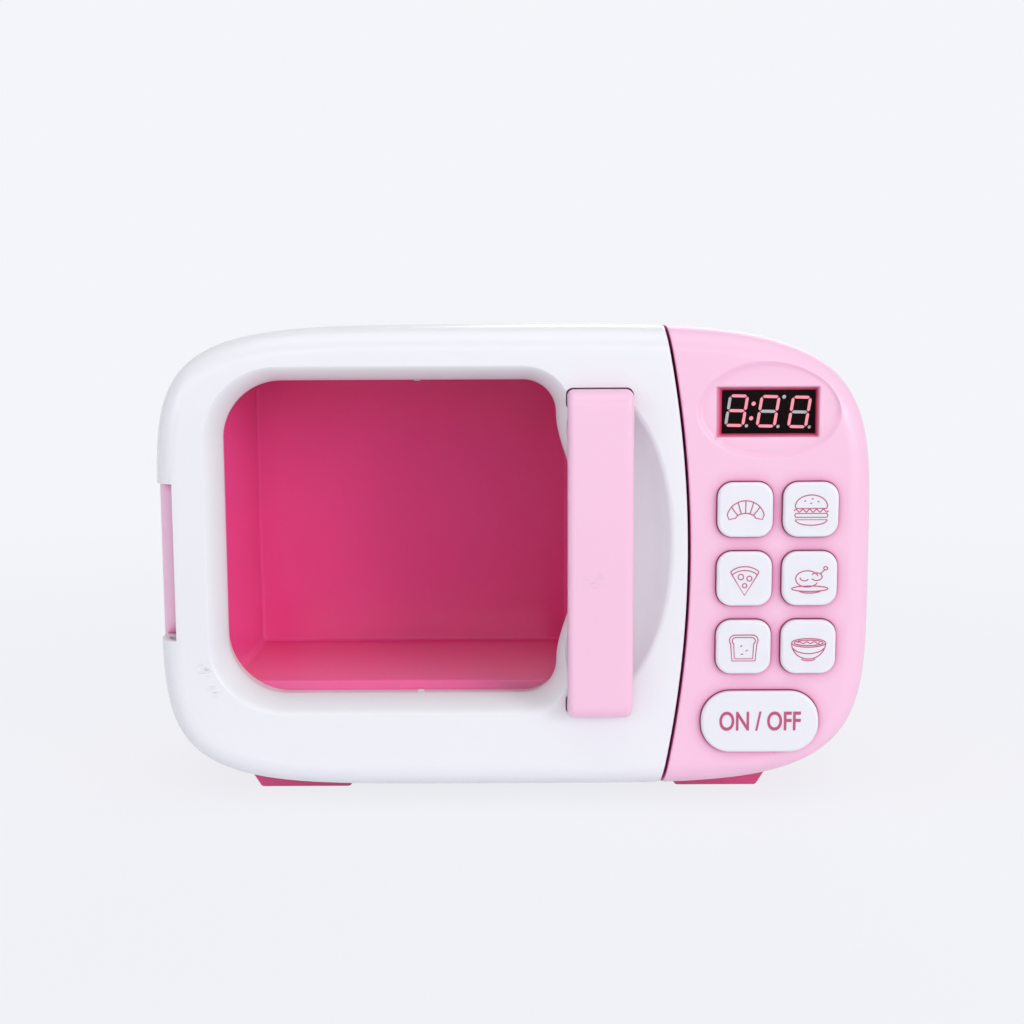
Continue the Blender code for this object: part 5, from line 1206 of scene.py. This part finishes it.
inkHeight = 0.05
inkTree, known = newTree("inkLines", {"Line Width": 0.36, "Ink Height": inkHeight, "Level": button["front"]})
mathChain(inkTree, known, "radius = lineWidth / 2.0; flat = inkHeight / radius")
strokes = addNode(inkTree, "MeshToCurve", {"Mesh": known["geometry"]})
nib = addNode(inkTree, "CurvePrimitiveCircle", {"Resolution": 8, "Radius": known["radius"]})
ink = addNode(inkTree, "CurveToMesh", {"Curve": strokes, "Profile Curve": nib, "Fill Caps": True})
mathChain(inkTree, known, "proud = y - level; thin = proud * flat; newY = level + thin")
target = addNode(inkTree, "CombineXYZ", {0: known["x"], 1: known["newY"], 2: known["z"]})
endTree(inkTree, known, addNode(inkTree, "SetPosition", {"Geometry": ink, "Position": target}))


def bow(x, z, wide, tall, start, end, steps=24):  # part of an ellipse
    turns = [math.radians(start + (end - start) * i / steps) for i in range(steps + 1)]
    return [(x + wide * math.cos(t), z + tall * math.sin(t)) for t in turns]


def wave(left, right, z, tall, count, steps=48):
    shares = [i / steps for i in range(steps + 1)]
    return [
        (left + (right - left) * share, z + tall * math.sin(2 * math.pi * count * share)) for share in shares
    ]


def creases():  # lines across the croissant, from its inner to its outer edge
    for degrees in (38, 64, 90, 116, 142):
        t = math.radians(degrees)
        outer = t * 0.94 + 0.09
        yield [
            (0.35 * math.cos(t), -0.32 + 0.2 * math.sin(t)),
            (0.5 * math.cos(t) * 1.02, -0.32 + 0.44 * math.sin(t)),
            (0.68 * math.cos(outer), -0.32 + 0.66 * math.sin(outer)),
        ]


pictures = {  # strokes in shares of the cap's half width
    "croissant": [
        bow(0, -0.32, 0.68, 0.66, 12, 168), bow(0, -0.32, 0.36, 0.2, 8, 172),
        [(-0.665, -0.183), (-0.6, -0.34), (-0.357, -0.292)], [(0.665, -0.183), (0.6, -0.34), (0.357, -0.292)],
        *creases(),
    ],
    "burger": [
        bow(0, 0.12, 0.58, 0.42, 0, 180), [(-0.58, 0.12), (-0.54, 0.05), (0.54, 0.05), (0.58, 0.12)],
        wave(-0.62, 0.62, -0.03, 0.05, 5),
        [(-0.56, -0.13), (-0.6, -0.2), (-0.56, -0.27)] + [(0.56, -0.27), (0.6, -0.2), (0.56, -0.13)]
        + [(-0.56, -0.13)],
        [(-0.57, -0.36), (0.57, -0.36)], bow(0, -0.36, 0.57, 0.2, 180, 360), [(-0.26, 0.3), (-0.2, 0.34)],
        [(0.0, 0.4), (0.07, 0.4)], [(0.22, 0.32), (0.28, 0.28)], [(-0.05, 0.24), (0.02, 0.24)],
    ],
    "pizza": [
        bow(0, 0.02, 0.62, 0.44, 35, 145), bow(0, -0.08, 0.56, 0.4, 38, 142),
        [(-0.51, 0.27), (-0.46, 0.16), (0.0, -0.6), (0.46, 0.16), (0.51, 0.27)],
        bow(-0.14, 0.08, 0.1, 0.1, 0, 360), bow(0.17, 0.02, 0.09, 0.09, 0, 360),
        bow(0.0, -0.24, 0.08, 0.08, 0, 360),
    ],
    "roast": [
        bow(-0.1, 0.0, 0.42, 0.3, 20, 330), bow(0.24, 0.08, 0.2, 0.14, -150, 150),
        [(0.38, 0.19), (0.52, 0.33)],
        bow(0.56, 0.39, 0.07, 0.06, 0, 360, 14), bow(-0.2, 0.05, 0.16, 0.12, 180, 330),
        bow(0, -0.36, 0.66, 0.1, 0, 360), bow(0, -0.42, 0.4, 0.1, 190, 350),
    ],
    "toast": [
        [(-0.42, -0.5)] + bow(-0.3, 0.26, 0.22, 0.2, 215, 90) + bow(0.3, 0.26, 0.22, 0.2, 90, -35)
        + [(0.42, -0.5), (-0.42, -0.5)],
        [(-0.33, -0.42)] + bow(-0.27, 0.24, 0.15, 0.13, 230, 90) + bow(0.27, 0.24, 0.15, 0.13, 90, -50)
        + [(0.33, -0.42), (-0.33, -0.42)],
        [(-0.12, 0.02), (-0.06, 0.08)], [(0.08, -0.14), (0.15, -0.1)], [(-0.1, -0.26), (-0.02, -0.24)],
    ],
    "bowl": [
        bow(0, 0.16, 0.62, 0.16, 0, 360), bow(0, 0.16, 0.62, 0.6, 180, 360),
        bow(0, -0.44, 0.24, 0.06, 180, 360),
        bow(0, 0.16, 0.53, 0.1, 0, 360), wave(-0.4, 0.4, 0.17, 0.03, 3), bow(0, 0.06, 0.6, 0.3, 200, 340),
    ],
}
half = button["half"]
for number, ((label, lines), (x, z)) in enumerate(zip(pictures.items(), buttonPlaces), 1):
    shape = bmesh.new()
    for line in lines:
        points = [shape.verts.new((x + u * half, button["front"], z + v * half)) for u, v in line]
        for pair in zip(points, points[1:]):
            shape.edges.new(pair)
    bmesh.ops.remove_doubles(shape, verts=shape.verts, dist=0.01)
    piece = runTree(inkTree, f"{label}Print", {"Finish": padInk}, toMesh(label, shape))
    finishPiece(piece, f"{label}Print", padInk, f"food_button_{number}_cap", (), 60.0, False)

words = {"text": "ON / OFF", "height": 8.6, "width": 26.0}  # plain switch words in the same ink
curve = bpy.data.curves.new("switchWords", "FONT")
curve.body = words["text"]
curve.align_x, curve.align_y = "CENTER", "CENTER"
curve.size = words["height"]
curve.extrude = inkHeight
curve.offset = 0.12
curve.resolution_u = 6
writing = newObject("writing", curve)
mesh = evaluated(writing)
bpy.data.objects.remove(writing)
reach = [min(v.co.x for v in mesh.vertices), max(v.co.x for v in mesh.vertices)]
squeeze = Matrix.Diagonal((words["width"] / (reach[1] - reach[0]), 1.0, 1.0, 1.0))
mesh.transform(
    Matrix.Translation((startButton["x"], button["front"], startButton["z"]))
    @ Matrix.Rotation(rightAngle, 4, "X") @ squeeze @ Matrix.Translation((-sum(reach) / 2, 0, 0))
)
lettering = newObject("switchPrint", mesh)
finishPiece(lettering, "switchPrint", padInk, "start_button_cap", (), 40.0, False)
print("prints ready")

# Carried-over nodes get their own finish
finishes = {
    "hinge_pin": zincSteel, "display_module": displayBlack, "keypad_mat": siliconeRubber,
    "circuit_board": boardLaminate, "speaker": speakerBlack, "battery_contact_low": zincSteel,
    "battery_contact_high": zincSteel,
}
for name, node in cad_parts.items():
    material = finishes.get(name)
    if name.startswith("battery_") and name[-1].isdigit():
        material = cellJacket
    if "screw" in name:
        material = zincSteel
    if material is not None:
        node.data.materials.clear()
        node.data.materials.append(material)
        node.data.shade_smooth()

# Stage: pale floor and background, soft lamps and the camera

studio = {
    "background": "#f4f5fa", "filling": "#fafaff", "ambient": 0.42, "front": 0.05, "shadowShare": 0.12,
    "nearFloor": 0.22, "farFloor": 0.75, "tableFront": -0.28, "tableFade": -0.16,
    "roomFront": -0.95, "roomFade": -0.35, "floorReach": 12.0, "floorDrop": 0.0003,
}


def showsBackground(tree, heading, dark, pale):  # which rays see the room, and how bright it is for them
    rays = addNode(tree, "LightPath")
    dim = addNode(
        tree, "MapRange",
        {"Value": heading, "From Min": dark, "From Max": pale, "To Min": studio["front"], "To Max": 1.0},
        interpolation_type="SMOOTHSTEP",
    )  # the room in front of the toy is dark beside the sweep behind it
    known = {
        "camera": rays.outputs["Is Camera Ray"], "through": rays.outputs["Is Transmission Ray"],
        "mirrored": rays.outputs["Is Glossy Ray"], "scattered": rays.outputs["Diffuse Depth"],
        "mirrors": rays.outputs["Glossy Depth"],
    }
    mathChain(tree, known, (
        "direct = camera max through; sharp = direct max mirrored; undiffused = scattered < 0.5; "
        "seen = sharp * undiffused; glossy = mirrors > 0.5"
    ))
    known["strength"] = addNode(
        tree, "Mix", {0: known["glossy"], 2: 1.0, 3: dim}, data_type="FLOAT"
    ).outputs[0]
    return known


world = bpy.context.scene.world or bpy.data.worlds.new("studio")
bpy.context.scene.world = world
world.use_nodes = True
tree = world.node_tree
tree.nodes.clear()
heading = addNode(tree, "SeparateXYZ", {0: addNode(tree, "TexCoord").outputs["Generated"]})
known = showsBackground(tree, heading.outputs["Y"], studio["roomFront"], studio["roomFade"])
shown = addNode(tree, "Background", {"Color": studio["background"], "Strength": known["strength"]})
filling = addNode(tree, "Background", {"Color": studio["filling"], "Strength": studio["ambient"]})
both = addNode(tree, "MixShader", {0: known["seen"], 1: filling, 2: shown})
addNode(tree, "OutputWorld", {"Surface": both})

# Painted sweep, lit evenly, that still takes a shadow; the table ends in front
floorMaterial, tree, shader, place = newMaterial("paleFloor")
away = addNode(tree, "VectorMath", {0: place}, operation="LENGTH")
share = addNode(
    tree, "MapRange",
    {"Value": away.outputs["Value"], "From Min": studio["nearFloor"], "From Max": studio["farFloor"],
     "To Min": 1.0 - studio["shadowShare"], "To Max": 1.0},
    interpolation_type="SMOOTHSTEP",
)
depth = addNode(tree, "SeparateXYZ", {0: place})
known = showsBackground(tree, depth.outputs["Y"], studio["tableFront"], studio["tableFade"])
known["share"] = share.outputs[0]
mathChain(tree, known, "whole = glossy max share; even = seen * whole")
feed(tree, shader, {"Base Color": studio["background"], "Roughness": 0.9, "Specular IOR Level": 0.0})
glowFloor = addNode(tree, "Emission", {"Color": studio["background"], "Strength": known["strength"]})
mixed = addNode(tree, "MixShader", {0: known["even"], 1: shader, 2: glowFloor})
feed(tree, tree.nodes["Material Output"], {"Surface": mixed})
shape = bmesh.new()
under = Matrix.Translation((0, 0, -studio["floorDrop"]))
bmesh.ops.create_grid(shape, x_segments=1, y_segments=1, size=studio["floorReach"], matrix=under)
floor = fromBmesh("studioFloor", shape)
floor.data.materials.append(floorMaterial)

lamps = {  # place, width and height in metres, watts
    "frontLamp": ((0.1, -2.3, 0.55), (2.4, 0.9), 9.5),
    "rightLamp": ((1.9, -1.9, 0.8), (1.3, 1.3), 25.5),
    "leftLamp": ((-1.9, -1.9, 0.8), (1.3, 1.3), 8.5),
    "topLamp": ((0.0, -0.6, 2.0), (1.7, 1.7), 8.0),
    "backLamp": ((0.5, 1.6, 1.2), (1.2, 1.2), 9.0),
}
for name, (spot, (wide, tall), watts) in lamps.items():
    light = bpy.data.lights.new(name, "AREA")
    light.shape = "RECTANGLE"
    light.size = wide
    light.size_y = tall
    light.energy = watts
    lamp = newObject(name, light)
    lamp.location = spot
    lamp.rotation_euler = (Vector((0.0, 0.0, 0.08)) - Vector(spot)).to_track_quat("-Z", "Y").to_euler()

view = {"place": (0.00046, -0.54545, 0.16475), "pitch": 7.774, "roll": 0.257, "lens": 56.25}
cameraData = bpy.data.cameras.new("studioCamera")
cameraData.lens = view["lens"]
cameraData.sensor_width = 36.0
cameraData.clip_start = 0.01
camera = newObject("studioCamera", cameraData)
camera.location = view["place"]
camera.rotation_euler = (math.radians(90 - view["pitch"]), math.radians(view["roll"]), 0.0)
bpy.context.scene.camera = camera
bpy.context.scene.view_settings.view_transform = "Standard"
print("stage ready")

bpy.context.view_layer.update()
